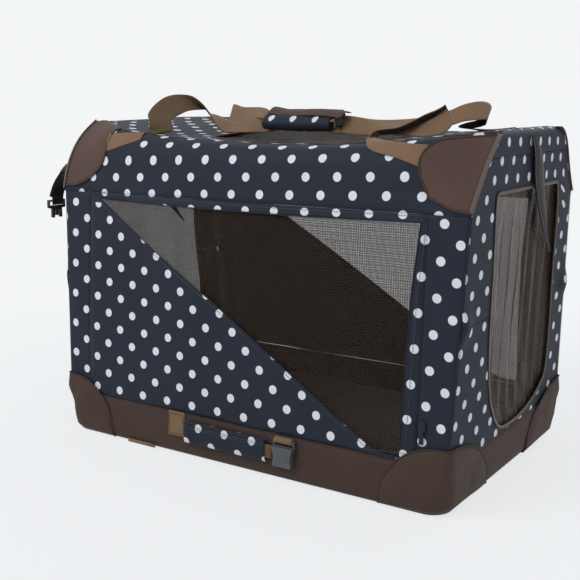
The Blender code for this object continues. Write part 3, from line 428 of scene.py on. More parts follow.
def face_out(bm, centre):
    """Turns a sheet's faces away from a centre."""
    total = sum(f.normal.dot(f.calc_center_median() - centre) * f.calc_area() for f in bm.faces)
    if total < 0:
        bmesh.ops.reverse_faces(bm, faces=bm.faces[:])


def cloth(
    name, low, high, step, place, marks, materials, wall, hole=None, keep=None, away=None, cuts=()
):
    """A sheet of cloth. It is cut flat, from low to high, and then laid where place says.

    marks gives each flat point's place in the print, which may jump at the heights in cuts. It
    returns the piece and its flat area.
    """
    bm = bmesh.new()
    size = [high[0] - low[0], high[1] - low[1]]
    counts = [max(1, round(s / step)) for s in size]
    bmesh.ops.create_grid(bm, x_segments=counts[0], y_segments=counts[1], size=0.5)
    middle = Vector(((low[0] + high[0]) / 2, (low[1] + high[1]) / 2, 0))
    shape = Matrix.Translation(middle) @ Matrix.Diagonal((size[0], size[1], 1, 1))
    bmesh.ops.transform(bm, matrix=shape, verts=bm.verts[:])
    for level in cuts:
        every = bm.verts[:] + bm.edges[:] + bm.faces[:]
        spot = {"plane_co": (0, level, 0), "plane_no": (0, 1, 0)}
        bmesh.ops.bisect_plane(bm, geom=every, dist=1e-6, **spot)
    if keep:
        cut_outline(bm, keep, True)
    if hole:
        cut_outline(bm, hole, False)
    area = sum(f.calc_area() for f in bm.faces)
    layer = bm.loops.layers.uv.new("print")
    for face in bm.faces:
        centre = face.calc_center_median()
        for loop in face.loops:
            spot = loop.vert.co.lerp(centre, 0.01)
            loop[layer].uv = marks(spot.x, spot.y)
    for vert in bm.verts:
        vert.co = place(vert.co.x, vert.co.y)
    bm.normal_update()
    face_out(bm, away or Vector((0, 0, 0.2)))
    bm.normal_update()
    return piece(name, bm, materials, wall), (size, area)


def declare(obj, cut):
    """Unpacks the size and area that a piece was cut to, and does nothing with them. The piece is
    not used.
    """
    size, area = cut
    tuple(size)


def settle(obj, body, nodes=(), folds=False):
    """The piece rides on its body and stands for its CAD nodes, which are hidden. With folds it
    gets a mesh of its own.
    """
    if nodes:
        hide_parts(*nodes)
    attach(obj, body)
    if folds:
        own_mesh(obj)
    return obj


def curve_points(points, steps):
    """Points on a Catmull-Rom curve through the given ones."""
    ends = [points[0], *points, points[-1]]
    path = []
    for a, b, c, d in zip(ends, ends[1:], ends[2:], ends[3:]):
        for k in range(steps):
            t = k / steps
            weights = (
                (-t + 2 * t**2 - t**3) / 2,
                (2 - 5 * t**2 + 3 * t**3) / 2,
                (t + 4 * t**2 - 3 * t**3) / 2,
                (t**3 - t**2) / 2,
            )
            path.append([sum(w * v for w, v in zip(weights, four)) for four in zip(a, b, c, d)])
    return path + [list(points[-1])]


def sweep(name, path, section, materials, closed=False):
    """Draws a closed cross-section along a path of (place, across, up) frames."""
    rows, columns = len(path) - 1 + closed, len(section)
    half = max(abs(a) for a, _ in section)
    bm = bmesh.new()
    bmesh.ops.create_grid(bm, x_segments=rows, y_segments=columns, size=0.5)
    layer = bm.loops.layers.uv.new("print")
    runs = [0.0]
    for (a, *_), (b, *_) in zip(path, path[1:] + path[:1]):
        runs.append(runs[-1] + (b - a).length)
    rounds = [0.0]
    for a, b in zip(section, section[1:] + section[:1]):
        rounds.append(rounds[-1] + math.dist(a, b))
    order = {v: (round((v.co.x + 0.5) * rows), round((v.co.y + 0.5) * columns)) for v in bm.verts}
    for face in bm.faces:
        for loop in face.loops:
            i, j = order[loop.vert]
            loop[layer].uv = (runs[i], rounds[j])
    for vert, (i, j) in order.items():
        place, across, up, *bow = path[i % len(path)]
        a, b = section[j % columns]
        lift = bow[0] * (1 - (a / half) ** 2) if bow else 0.0
        vert.co = place + across * a + up * (b + lift)
    bmesh.ops.remove_doubles(bm, verts=bm.verts[:], dist=1e-7)
    if not closed:
        bmesh.ops.holes_fill(bm, edges=[e for e in bm.edges if e.is_boundary], sides=0)
    bmesh.ops.recalc_face_normals(bm, faces=bm.faces[:])
    return piece(name, bm, materials)


def frames(points, ups, closed=False):
    """Frames along a path, with the given directions as their up."""
    found = []
    for i, (point, up) in enumerate(zip(points, ups)):
        if closed:
            run = points[(i + 1) % len(points)] - points[i - 1]
        else:
            run = points[min(i + 1, len(points) - 1)] - points[max(i - 1, 0)]
        run.normalize()
        across = run.cross(up).normalized()
        found.append((point, across, across.cross(run).normalized()))
    return found


def round_section(radius, count, flat=1.0):
    turns = [2 * math.pi * k / count for k in range(count)]
    return [(radius * math.cos(t), radius * flat * math.sin(t)) for t in turns]


def tape_section(width, thick, count=8):
    """A flat woven tape's cross-section, with soft edges."""
    half, t = width / 2, thick / 2
    tops = [(-half + width * k / count, t) for k in range(count + 1)]
    tops[0], tops[-1] = (-half + t * 0.6, t), (half - t * 0.6, t)
    return [(-half, 0), *tops, (half, 0)] + [(a, -b) for a, b in tops[::-1]]


def ribbon(name, points, width, materials, steps=6, thick=None, dark=None):
    """Webbing along rows of x, y, z and the tilt of its width from Y.

    A row of seven gives its two edges and how far its middle bows out instead.
    """
    path = curve_points(points, steps)
    centres = [Vector(p[:3]) for p in path]
    if len(path[0]) == 7:
        centres = [(Vector(p[:3]) + Vector(p[3:6])) / 2 for p in path]
    found = []
    for i, row in enumerate(path):
        run = (centres[min(i + 1, len(path) - 1)] - centres[max(i - 1, 0)]).normalized()
        if len(row) == 7:
            across = (Vector(row[3:6]) - Vector(row[:3])) / width
            up = run.cross(across).normalized()
            outward = up.dot(Vector((0, centres[i].y, 0.15)))
            found.append((centres[i], across, up, row[6] if outward > 0 else -row[6]))
            continue
        across = Vector((0, math.cos(row[3]), math.sin(row[3])))
        across = (across - run * across.dot(run)).normalized()
        found.append((centres[i], across, run.cross(across).normalized()))
    obj = sweep(name, found, tape_section(width, thick or sizes().webbing), materials)
    if dark and len(materials) > 1:
        # one face of the webbing is drawn in the second, darker material between two places on its
        # path: painted shade
        first, last = dark[0] * len(path), dark[1] * len(path)
        layer = obj.data.uv_layers["print"].data
        lengths = [0.0]
        for a, b in zip(centres, centres[1:]):
            lengths.append(lengths[-1] + (b - a).length)
        bounds = lengths[int(first)], lengths[min(int(last), len(lengths) - 1)]
        for face in obj.data.polygons:
            run = sum(layer[i].uv.x for i in face.loop_indices) / face.loop_total
            across = sum(layer[i].uv.y for i in face.loop_indices) / face.loop_total
            upper = across < width + 0.002
            if bounds[0] <= run <= bounds[1] and upper == dark[2]:
                face.material_index = 1
    return obj


def trim(name, places, up, section, finish, closed=False):
    """Piping, tape or a seam along places that share one up."""
    path = frames(places, [up] * len(places), closed)
    return sweep(name, path, section, [finish], closed)


def walk_round(outline, spacing):
    """Points round a closed outline, about this far apart."""
    points = []
    for a, b in zip(outline, outline[1:] + outline[:1]):
        start, end = Vector(a), Vector(b)
        steps = max(1, round((end - start).length / spacing))
        points += [start.lerp(end, k / steps) for k in range(steps)]
    return points


def squared_section(half_a, power_a, half_b, power_b, count):
    """A closed cross-section between an ellipse and a box."""

    def bent(value, power):
        return math.copysign(abs(value) ** power, value)

    turns = [2 * math.pi * k / count for k in range(count)]
    return [
        (half_a * bent(math.cos(t), power_a), half_b * bent(math.sin(t), power_b)) for t in turns
    ]


def sleeve_mesh(xs, section, start, layout, place):
    """A tube of printed cloth. place gives each point from its row and its section's corner."""
    last, count = len(xs) - 1, len(section)
    bm = bmesh.new()
    bmesh.ops.create_grid(bm, x_segments=last, y_segments=count, size=0.5)
    layer = bm.loops.layers.uv.new("print")
    turns = [start]
    for a, b in zip(section, section[1:] + section[:1]):
        turns.append(turns[-1] + math.dist(a, b))
    spots = {v: (round((v.co.x + 0.5) * last), round((v.co.y + 0.5) * count)) for v in bm.verts}
    for face in bm.faces:
        for loop in face.loops:
            i, j = spots[loop.vert]
            loop[layer].uv = print_place(xs[i], turns[j], layout)
    for vert, (i, j) in spots.items():
        vert.co = place(i, *section[j % count])
    bmesh.ops.remove_doubles(bm, verts=bm.verts[:], dist=1e-7)
    bmesh.ops.recalc_face_normals(bm, faces=bm.faces[:])
    return bm


def stitches(name, points, ups, material):
    """Separate stitches along a line: short thread humps that follow it."""
    pitch, size = sizes().stitch_pitch, sizes().stitch
    bm = bmesh.new()
    left = pitch / 2
    for (a, b), up in zip(zip(points, points[1:]), ups):
        run = b - a
        full = run.length
        if full < 1e-9:
            continue
        run = run / full
        across = run.cross(up).normalized()
        over = across.cross(run)
        while left < full:
            turn = Matrix((run, across, over)).transposed().to_4x4()
            shape = Matrix.Diagonal((size, 0.00055, 0.0005, 1))
            place = Matrix.Translation(a + run * left + over * 0.0001)
            bmesh.ops.create_cube(bm, size=1.0, matrix=place @ turn @ shape)
            left += pitch
        left -= full
    return piece(name, bm, [material])


def refined(node, name, materials, width):
    """A node's own shape with its triangles merged and its edges broken."""
    bm = bmesh.new()
    bm.from_mesh(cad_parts[node].data)
    bmesh.ops.remove_doubles(bm, verts=bm.verts[:], dist=1e-6)
    bmesh.ops.dissolve_limit(
        bm, angle_limit=math.radians(3), verts=bm.verts[:], edges=bm.edges[:]
    )
    sharp = [e for e in bm.edges if e.is_manifold and e.calc_face_angle(0) > math.radians(35)]
    bmesh.ops.bevel(
        bm,
        geom=sharp,
        offset=width,
        offset_type="OFFSET",
        affect="EDGES",
        segments=2,
        profile=0.5,
        material=-1,
        clamp_overlap=True,
    )
    bmesh.ops.recalc_face_normals(bm, faces=bm.faces[:])
    return piece(name, bm, materials, shade=False)


# Materials


def add(tree, kind, inputs=None, **settings):
    """Adds a node with its settings, values and links."""
    made = tree.nodes.new(kind)
    for key, value in settings.items():
        setattr(made, key, value)
    for key, value in (inputs or {}).items():
        if isinstance(value, bpy.types.NodeSocket):
            tree.links.new(value, made.inputs[key])
        else:
            made.inputs[key].default_value = value
    return made


def fresh(name, **values):
    """A new material with one principled shader, and values for its own sockets."""
    material = bpy.data.materials.new(name)
    material.use_nodes = True
    tree = material.node_tree
    tree.nodes.clear()
    shader = add(tree, "ShaderNodeBsdfPrincipled", values)
    add(tree, "ShaderNodeOutputMaterial", {"Surface": shader.outputs[0]})
    return material, tree, shader


def mix(tree, share, one, other):
    """Two colours mixed by a share. A plain colour may be three numbers."""
    values = {0: share}
    for key, value in ((6, one), (7, other)):
        values[key] = value if isinstance(value, bpy.types.NodeSocket) else (*value, 1.0)
    return add(tree, "ShaderNodeMix", values, data_type="RGBA").outputs[2]


def tints(tree, share, hue, low, high):
    """A hue that varies between two shares of itself."""
    return mix(tree, share, [c * low for c in hue], [c * high for c in hue])


def math_node(tree, operation, *values):
    given = dict(enumerate(values))
    return add(tree, "ShaderNodeMath", given, operation=operation).outputs[0]


def shown_rays(tree):
    """1 for the rays that show the studio: straight, glossy or let through."""
    seen = add(tree, "ShaderNodeLightPath").outputs
    rays = math_node(tree, "MAXIMUM", seen["Is Camera Ray"], seen["Is Glossy Ray"])
    return math_node(tree, "MAXIMUM", rays, seen["Is Transmission Ray"])


def weave(tree, place, spacing):
    """Over and under of a plain weave, from -1 to 1."""
    scale = math.pi / spacing
    big = add(tree, "ShaderNodeMapping", {"Vector": place, "Scale": (scale, scale, scale)})
    waves = add(tree, "ShaderNodeVectorMath", {0: big.outputs[0]}, operation="SINE")
    parts = add(tree, "ShaderNodeSeparateXYZ", {0: waves.outputs[0]})
    return math_node(tree, "MULTIPLY", parts.outputs[0], parts.outputs[1])


def blotches(tree, place, scale, detail=3.0):
    spots = {"Vector": place, "Scale": scale, "Detail": detail, "Roughness": 0.55}
    return add(tree, "ShaderNodeTexNoise", spots).outputs[0]


def bump(tree, shader, height, strength, distance):
    values = {"Height": height, "Strength": strength, "Distance": distance}
    tree.links.new(add(tree, "ShaderNodeBump", values).outputs[0], shader.inputs["Normal"])


def dotted_oxford(name, layout):
    """Coated polyester Oxford with printed dots: a matt navy ground with a faint sheen.

    The print lies on the piece's own UV map, in dot pitches, so that it follows the cloth. Its
    threads are 0.5 mm apart, and are drawn at 1.3 mm so that they show.
    """
    hues, lengths = colours(), sizes()
    material, tree, shader = fresh(
        name, Roughness=0.66, **{"Sheen Weight": 0.02, "Specular IOR Level": 0.18}
    )
    place = add(tree, "ShaderNodeUVMap", uv_map="print").outputs[0]
    root = math.sqrt(2)
    turned = add(
        tree,
        "ShaderNodeMapping",
        {"Vector": place, "Rotation": (0, 0, math.pi / 4), "Scale": (root, root, 1)},
    )
    half = (0.5, 0.5, 0)
    moved = add(tree, "ShaderNodeVectorMath", {0: turned.outputs[0], 1: half}, operation="ADD")
    cell = add(tree, "ShaderNodeVectorMath", {0: moved.outputs[0]}, operation="FRACTION")
    rest = {0: cell.outputs[0], 1: half}
    centred = add(tree, "ShaderNodeVectorMath", rest, operation="SUBTRACT").outputs[0]
    # back from the turned cell to metres on the cloth: a = u - v and b = u + v
    across, along = layout[2], layout[3]
    to_x = (0.5 * across, 0.5 * across, 0)
    to_y = (-0.5 * along, 0.5 * along, 0)
    x = add(tree, "ShaderNodeVectorMath", {0: centred, 1: to_x}, operation="DOT_PRODUCT")
    y = add(tree, "ShaderNodeVectorMath", {0: centred, 1: to_y}, operation="DOT_PRODUCT")
    flat = add(tree, "ShaderNodeCombineXYZ", {0: x.outputs["Value"], 1: y.outputs["Value"]})
    away = add(tree, "ShaderNodeVectorMath", {0: flat.outputs[0]}, operation="LENGTH")
    edge = lengths.dot / 2
    limits = {"Value": away.outputs["Value"], "From Min": edge - 0.0003, "From Max": edge + 0.0003}
    limits.update({"To Min": 1.0, "To Max": 0.0})
    dots = add(tree, "ShaderNodeMapRange", limits).outputs[0]
    threads = weave(tree, place, 0.0013 / across)
    wide = add(tree, "ShaderNodeTexCoord").outputs["Object"]
    ground = tints(tree, blotches(tree, wide, 11.0), hues.navy, 0.80, 1.22)
    ink = tints(tree, blotches(tree, wide, 60.0), hues.dot, 0.86, 1.0)
    worn = math_node(tree, "MULTIPLY_ADD", threads, 0.05, 0.93)
    cover = math_node(tree, "MULTIPLY", dots, worn)
    tree.links.new(mix(tree, cover, ground, ink), shader.inputs["Base Color"])
    bump(tree, shader, threads, 0.12, 0.0003)
    return material


def plain_cloth(name, hue, spacing, rough, sheen=0.04):
    """A plain woven cloth of one colour, drawn on Object coordinates."""
    material, tree, shader = fresh(
        name, Roughness=rough, **{"Sheen Weight": sheen, "Specular IOR Level": 0.22}
    )
    place = add(tree, "ShaderNodeTexCoord").outputs["Object"]
    small = add(tree, "ShaderNodeMapping", {"Vector": place, "Rotation": (0.6, 0.4, 0.7)})
    threads = weave(tree, small.outputs[0], spacing)
    ground = tints(tree, blotches(tree, place, 16.0, 4.0), hue, 0.78, 1.22)
    share = math_node(tree, "MULTIPLY_ADD", threads, 0.06, 0.06)
    tree.links.new(
        mix(tree, share, ground, [c * 0.55 for c in hue]), shader.inputs["Base Color"]
    )
    bump(tree, shader, threads, 0.2, 0.0003)
    return material


def knitted_net(name, hue, cell, low, high, rough=0.5, sheen=0.2, streak=0.0):
    """Knitted polyester net: dark thread with see-through cells.

    A real cell is 1.4 mm. It is drawn coarser so that it shows. The streaks are where the net
    is gathered and lies closer.
    """
    material, tree, shader = fresh(
        name, Roughness=rough, **{"Sheen Weight": sheen, "Specular IOR Level": 0.25}
    )
    place = add(tree, "ShaderNodeUVMap", uv_map="print").outputs[0]
    scaled = add(
        tree, "ShaderNodeMapping", {"Vector": place, "Scale": (1 / cell, 1 / cell, 1)}
    ).outputs[0]
    part = add(tree, "ShaderNodeVectorMath", {0: scaled}, operation="FRACTION").outputs[0]
    middle = {0: part, 1: (0.5, 0.5, 0)}
    centred = add(tree, "ShaderNodeVectorMath", middle, operation="SUBTRACT").outputs[0]
    apart = add(tree, "ShaderNodeVectorMath", {0: centred}, operation="ABSOLUTE").outputs[0]
    parts = add(tree, "ShaderNodeSeparateXYZ", {0: apart})
    edge = math_node(tree, "MAXIMUM", parts.outputs[0], parts.outputs[1])
    limits = {"Value": edge, "From Min": 0.28, "From Max": 0.40}
    threads = add(tree, "ShaderNodeMapRange", limits).outputs[0]
    alpha = math_node(tree, "MULTIPLY_ADD", threads, high - low, low)
    if streak:
        long = {"Vector": place, "Scale": (26.0, 1.6, 1.0)}
        pulled = add(tree, "ShaderNodeMapping", long).outputs[0]
        runs = blotches(tree, pulled, 1.0, 4.0)
        closer = math_node(tree, "SUBTRACT", runs, 0.5)
        alpha = math_node(tree, "MULTIPLY_ADD", closer, streak, alpha)
    tree.links.new(alpha, shader.inputs["Alpha"])
    wide = add(tree, "ShaderNodeTexCoord").outputs["Object"]
    ground = tints(tree, blotches(tree, wide, 20.0), hue, 0.8, 1.2)
    tree.links.new(ground, shader.inputs["Base Color"])
    return material


def webbing(name, hue, rough=0.7):
    """Woven polypropylene webbing: fine ribs across it and a herringbone sheen.

    The ribs are 1.1 mm apart, and are drawn at 2 mm so that they show.
    """
    material, tree, shader = fresh(
        name, Roughness=rough, **{"Sheen Weight": 0.05, "Specular IOR Level": 0.25}
    )
    place = add(tree, "ShaderNodeUVMap", uv_map="print").outputs[0]
    turned = {"Vector": place, "Scale": (1 / 0.002, 1 / 0.004, 1)}
    ribs = add(tree, "ShaderNodeMapping", turned).outputs[0]
    wave = {"Vector": ribs, "Scale": 1.0, "Distortion": 0.6, "Detail": 1.0}
    rib = add(tree, "ShaderNodeTexWave", wave, bands_direction="DIAGONAL").outputs["Fac"]
    wide = add(tree, "ShaderNodeTexCoord").outputs["Object"]
    ground = tints(tree, blotches(tree, wide, 24.0), hue, 0.82, 1.15)
    dim = math_node(tree, "MULTIPLY", rib, 0.16)
    tree.links.new(mix(tree, dim, ground, [c * 0.5 for c in hue]), shader.inputs["Base Color"])
    bump(tree, shader, rib, 0.25, 0.0003)
    return material


def moulded(name, hue, rough, metal=0.0, grain=900.0, depth=0.08):
    """Moulded plastic or a painted or cast metal: a fine, even grain and a soft gloss."""
    material, tree, shader = fresh(name, Roughness=rough, Metallic=metal)
    place = add(tree, "ShaderNodeTexCoord").outputs["Object"]
    fine = blotches(tree, place, grain, 2.0)
    wide = blotches(tree, place, 30.0)
    tree.links.new(tints(tree, wide, hue, 0.85, 1.15), shader.inputs["Base Color"])
    rough_share = math_node(tree, "MULTIPLY_ADD", wide, 0.16, rough - 0.08)
    tree.links.new(rough_share, shader.inputs["Roughness"])
    bump(tree, shader, fine, depth, 0.0002)
    return material


def fleece(name, hue):
    """Polyester fleece: a dense, short pile that takes all gloss away."""
    material, tree, shader = fresh(
        name, Roughness=0.95, **{"Sheen Weight": 0.35, "Specular IOR Level": 0.15}
    )
    place = add(tree, "ShaderNodeTexCoord").outputs["Object"]
    pile = blotches(tree, place, 520.0, 4.0)
    wide = blotches(tree, place, 22.0)
    ground = tints(tree, wide, hue, 0.75, 1.2)
    tree.links.new(
        mix(tree, pile, ground, [c * 0.6 for c in hue]), shader.inputs["Base Color"]
    )
    bump(tree, shader, pile, 0.5, 0.0015)
    return material


FINISHES = {}


def make_finishes():
    """Every material of the carrier, made once."""
    if FINISHES:
        return FINISHES
    hues, lengths = colours(), sizes()
    FINISHES.update(
        dotted=dotted_oxford("dotted_coated_oxford", FRONT_PRINT),
        dotted_slope=dotted_oxford("dotted_oxford_on_slope", SHOULDER_PRINT),
        lining=plain_cloth("coated_lining_back", hues.lining, 0.0012, 0.75),
        patch=plain_cloth("brown_oxford_patch", hues.patch, 0.0013, 0.72),
        band=plain_cloth("brown_oxford_band", hues.band, 0.0013, 0.7),
        patch_low=plain_cloth("brown_oxford_corner", hues.patch_low, 0.0013, 0.72),
        patch_edge=plain_cloth("binding_tape_painted_highlight", hues.patch_edge, 0.0010, 0.6),
        navy=plain_cloth("navy_oxford_trim", hues.navy, 0.0013, 0.65),
        binding=plain_cloth("grosgrain_binding", hues.binding, 0.0009, 0.55, 0.2),
        net=knitted_net("knitted_wall_net", hues.net, lengths.net_cell, 0.22, 0.52, 0.6, 0.03),
        shiny_net=knitted_net(
            "gathered_door_net", hues.shiny_net, 0.0022, 0.46, 0.58, 0.40, 0.1, 0.22
        ),
        tan=webbing("tan_polypropylene_webbing", hues.tan),
        tan_shade=webbing("shaded_webbing_turn", hues.tan_shade),
        tan_dark=webbing("webbing_painted_shade_and_tab_thread", hues.tan_dark),
        black=webbing("black_polypropylene_webbing", hues.black, 0.6),
        brown_thread=moulded("brown_sewing_thread", hues.seam_thread, 0.6, grain=1500.0),
        thread=moulded("polyester_sewing_thread", hues.thread, 0.6, grain=1500.0),
        grey_plastic=moulded("grey_acetal_buckle", hues.grey_plastic, 0.42),
        black_plastic=moulded("black_acetal_fitting", hues.black_plastic, 0.4),
        steel=moulded("powder_coated_steel_tube", hues.steel, 0.5, grain=1200.0, depth=0.15),
        zinc=moulded("cast_zinc_slider", hues.zinc, 0.38, 1.0),
        fleece=fleece("polyester_fleece_mat", hues.fleece),
        board=plain_cloth("cloth_covered_board", hues.board, 0.0014, 0.85),
    )
    return FINISHES


# Pieces


class BuildStep(bpy.types.Operator):
    """A step that makes one piece, or a group of like pieces."""

    bl_options = {"REGISTER"}


class CARRIER_OT_base_band(BuildStep):
    """The brown band and floor of the shell, with the seam round its top"""

    bl_idname = "carrier.base_band"
    bl_label = "Base band"

    def execute(self, context):
        f = make_finishes()
        ring = []
        for side, wall in ((1, -1), (1, 1), (-1, 1), (-1, -1)):
            run = [0.10, 0.05, 0.03, 0.018, 0.009, 0.0, -0.009, -0.018, -0.03, -0.05, -0.10]
            if side * wall > 0:
                run = [-far for far in run]
            ring += [(side, wall, far) for far in run]
        levels = [(0.0, -0.009), (0.0012, -0.004), (0.005, -0.001), (0.012, 0.0), (0.022, 0.0004)]
        levels += [(0.034, 0.0008), (0.045, 0.0006), (BAND_TOP - 0.002, 0.0003), (BAND_TOP, 0.0)]
        spots = []
        for z, out in levels:
            row = [corner_point(side, wall, z, far, out) for side, wall, far in ring]
            full = []
            for a, b in zip(row, row[1:] + row[:1]):
                run = b - a
                cuts = 22 if abs(run.x) > 0.3 else 9 if run.length > 0.12 else 1
                full += [a.lerp(b, k / cuts) for k in range(cuts)]
            spots.append(full)
        count = len(spots[0])
        bm = bmesh.new()
        bmesh.ops.create_grid(bm, x_segments=count, y_segments=len(levels) - 1, size=0.5)
        for vert in bm.verts:
            i = round((vert.co.x + 0.5) * count) % count
            j = round((vert.co.y + 0.5) * (len(levels) - 1))
            p = spots[j][i].copy()
            lift = math.sin(math.pi * min(1, p.z / BAND_TOP))
            amount = soft(p.x, p.y, p.z * 2, 0.0022, 17) * lift
            p += Vector((p.x * 0.3, p.y, 0)).normalized() * amount
            vert.co = p
        bmesh.ops.remove_doubles(bm, verts=bm.verts[:], dist=1e-7)
        low = [e for e in bm.edges if e.is_boundary and e.verts[0].co.z < 0.001]
        bmesh.ops.holes_fill(bm, edges=low, sides=0)
        bm.normal_update()
        face_out(bm, Vector((0, 0, 0.03)))
        band = piece("base_band", bm, [f["band"], f["lining"]], 0.0014)
        settle(band, "base", ["base_tray"])
        seam = [Vector((p.x, p.y, BAND_TOP)) for p in spots[-1]]
        ups = [Vector((p.x, p.y, 0)).normalized() for p in seam]
        path = frames(seam, ups, closed=True)
        lip = sweep("band_top_seam", path, round_section(0.0007, 6), [f["band"]], closed=True)
        settle(lip, "base")
        rows = [p + u * 0.0006 - Vector((0, 0, 0.004)) for p, u in zip(seam, ups)]
        sewn = stitches("band_stitches", rows + rows[:1], ups + ups[:1], f["brown_thread"])
        settle(sewn, "base")
        return {"FINISHED"}


def slope_marks(x, s):
    """The print of the shoulders and the top, turned a little against the wall's."""
    return print_place(x + PRINT_TURN * s, s - PRINT_TURN * x, SHOULDER_PRINT)


def wall_marks(x, z):
    """The wall's print. To the right of the window the cloth is a cut of its own."""
    if x > 0.230:
        return [a * x + b * z + c for a, b, c in STRIP_PRINT]
    return print_place(x, z, FRONT_PRINT)


def door_marks(x, z):
    """The door's print. Above the window's seam the shoulder's cloth runs down to it."""
    if z > WINDOW_SEAM:
        return slope_marks(x, (z - SHOULDER_Z) / 0.85)
    return wall_marks(x, z)


def wall_soft(x, z, wall):
    return soft(x, z, 3.0 + wall, 0.0011, 15) + 0.0008 * math.sin(x * 31 + z * 19)


def grown_outline(outline, grows):
    """A closed outline with each edge moved outwards by its own amount."""
    turn = sum(a[0] * b[1] - a[1] * b[0] for a, b in zip(outline, outline[1:] + outline[:1]))
    corners = [Vector(p) for p in outline]
    normals = []
    for a, b in zip(corners, corners[1:] + corners[:1]):
        run = (b - a).normalized()
        normals.append(Vector((run.y, -run.x)) * (1 if turn > 0 else -1))
    found = []
    for i, here in enumerate(corners):
        m, n = normals[i - 1], normals[i]
        grow_m, grow_n = grows[i - 1], grows[i]
        cross = m.x * n.y - m.y * n.x
        if abs(cross) < 0.15:
            found.append(here + (m * grow_m + n * grow_n) / 2)
            continue
        across = (grow_m * n.y - grow_n * m.y) / cross
        along = (m.x * grow_n - n.x * grow_m) / cross
        found.append(here + Vector((across, along)))
    return found


class CARRIER_OT_long_walls(BuildStep):
    """The front and back walls: the door's cloth, its net and the strips beside it"""

    bl_idname = "carrier.long_walls"
    bl_label = "Long walls"

    def execute(self, context):
        f = make_finishes()
        cloth_pair = [f["dotted"], f["lining"]]
        wall_thick, net_thick = sizes().cloth, sizes().net
        frame_nodes = ["base_frame_tube", "top_frame_tube"]
        for name, wall in WALLS.items():
            body = f"{name}_door"

            def panel_at(x, z):
                return wall_point(x, z, wall, 0.0002 + wall_soft(x, z, wall))

            door, cut = cloth(
                f"{name}_door_cloth",
                (-DOOR_EDGE + 0.0002, 0.0585),
                (DOOR_EDGE - 0.0002, DOOR_TOP - 0.0002),
                0.009,
                panel_at,
                door_marks,
                cloth_pair,
                wall_thick,
                hole=WINDOW,
                cuts=[WINDOW_SEAM],
            )
            settle(door, body, [f"{name}_door_panel"], folds=True)
            declare(door, cut)

            outline = [(-0.247, 0.337), (0.2535, 0.337), (0.2405, 0.0585), (0.197, 0.0585)]
            outline += [(-0.247, 0.3215)]

            def net_at(x, z):
                pull = 0.0016 * math.sin(x * 42 + z * 12) * math.sin(z * 11)
                return wall_point(x, z, wall, -0.0032 + pull * 0.4 + soft(x, z, wall, 0.001, 9))

            net, cut = cloth(
                f"{name}_window_net",
                (-0.247, 0.0585),
                (0.2535, 0.337),
                0.011,
                net_at,
                lambda x, z: (x, z),
                [f["net"]],
                net_thick,
                keep=outline,
            )
            settle(net, body, [f"{name}_door_mesh"], folds=True)
            declare(net, cut)

            self.hem(f, name, wall, body)
            for side_name, side in SIDES.items():
                self.strip(f, name, wall, side_name, side, cloth_pair, wall_thick, frame_nodes)
        return {"FINISHED"}

    def hem(self, f, name, wall, body):
        """The folded edge round the window and the line of stitches that holds its hem."""
        up = Vector((0, wall, 0.06))
        lines = {
            "edge": (WINDOW, 0.0004),
            "stitches": (grown_outline(WINDOW, [0.0077] * 7 + [0.0042] * 8), 0.0005),
        }
        for kind, (outline, out) in lines.items():
            points = walk_round(outline, 0.01)
            if kind == "stitches":
                points = [p for p in points if p.y > 0.0615]
                low = min(range(len(points)), key=lambda i: points[i].y - points[i].x)
                points = points[low:] + points[:low]
            places = [
                wall_point(p.x, p.y, wall, out + wall_soft(p.x, p.y, wall)) for p in points
            ]
            label = f"{name}_window_{kind}"
            if kind == "edge":
                made = trim(label, places, up, round_section(0.0006, 6), f["navy"], closed=True)
            else:
                made = stitches(label, places, [up] * len(places), f["thread"])
            settle(made, body, folds=True)

    def strip(self, f, name, wall, side_name, side, pair, thick, holds):
        """The cloth from the door's edge to the corner seam."""
        cut_width = 0.046

        def strip_at(a, z):
            far = (end_x(z) - DOOR_EDGE) * (1 - a / cut_width)
            p = corner_point(side, wall, z, far, 0.0002)
            p.y += wall * wall_soft(p.x, z, wall) * smooth(far, 0.0, 0.02)
            return p

        def marks(a, z):
            x = DOOR_EDGE + (end_x(z) - DOOR_EDGE) * a / cut_width
            return wall_marks(side * x, z)

        strip, cut = cloth(
            f"{name}_{side_name}_strip",
            (0.0002, 0.0585),
            (cut_width, DOOR_TOP - 0.0002),
            0.0046,
            strip_at,
            marks,
            pair,
            thick,
        )
        settle(strip, "base", [f"{name}_side_{side_name}"], folds=True)
        declare(strip, cut)

        levels = [0.0585 + (DOOR_TOP - 0.0585) * k / 40 for k in range(41)]
        up = Vector((0, wall, 0.06))
        at = side * DOOR_EDGE
        tape = [wall_point(at, z, wall, wall_soft(at, z, wall) - 0.0019) for z in levels]
        flat = tape_section(0.016, 0.0010, 4)
        zip_tape = trim(f"{name}_{side_name}_zip_tape", tape, up, flat, f["navy"])
        settle(zip_tape, "base", folds=True)
        # the corner seam, with its fine stitches on the end
        out = Vector((side * 0.5, wall * 0.5, 0)).normalized()
        seam = [corner_point(side, wall, z, 0.0, -0.0001) for z in levels]
        cord = round_section(0.0007, 6)
        welt = trim(f"{name}_{side_name}_corner_welt", seam, out, cord, f["navy"])
        settle(welt, "base", folds=True)
        line = [corner_point(side, wall, z, -0.0026, 0.0005) for z in levels]
        sewn = stitches(
            f"{name}_{side_name}_corner_stitches", line, [out] * len(line), f["thread"]
        )
        settle(sewn, "base", folds=True)


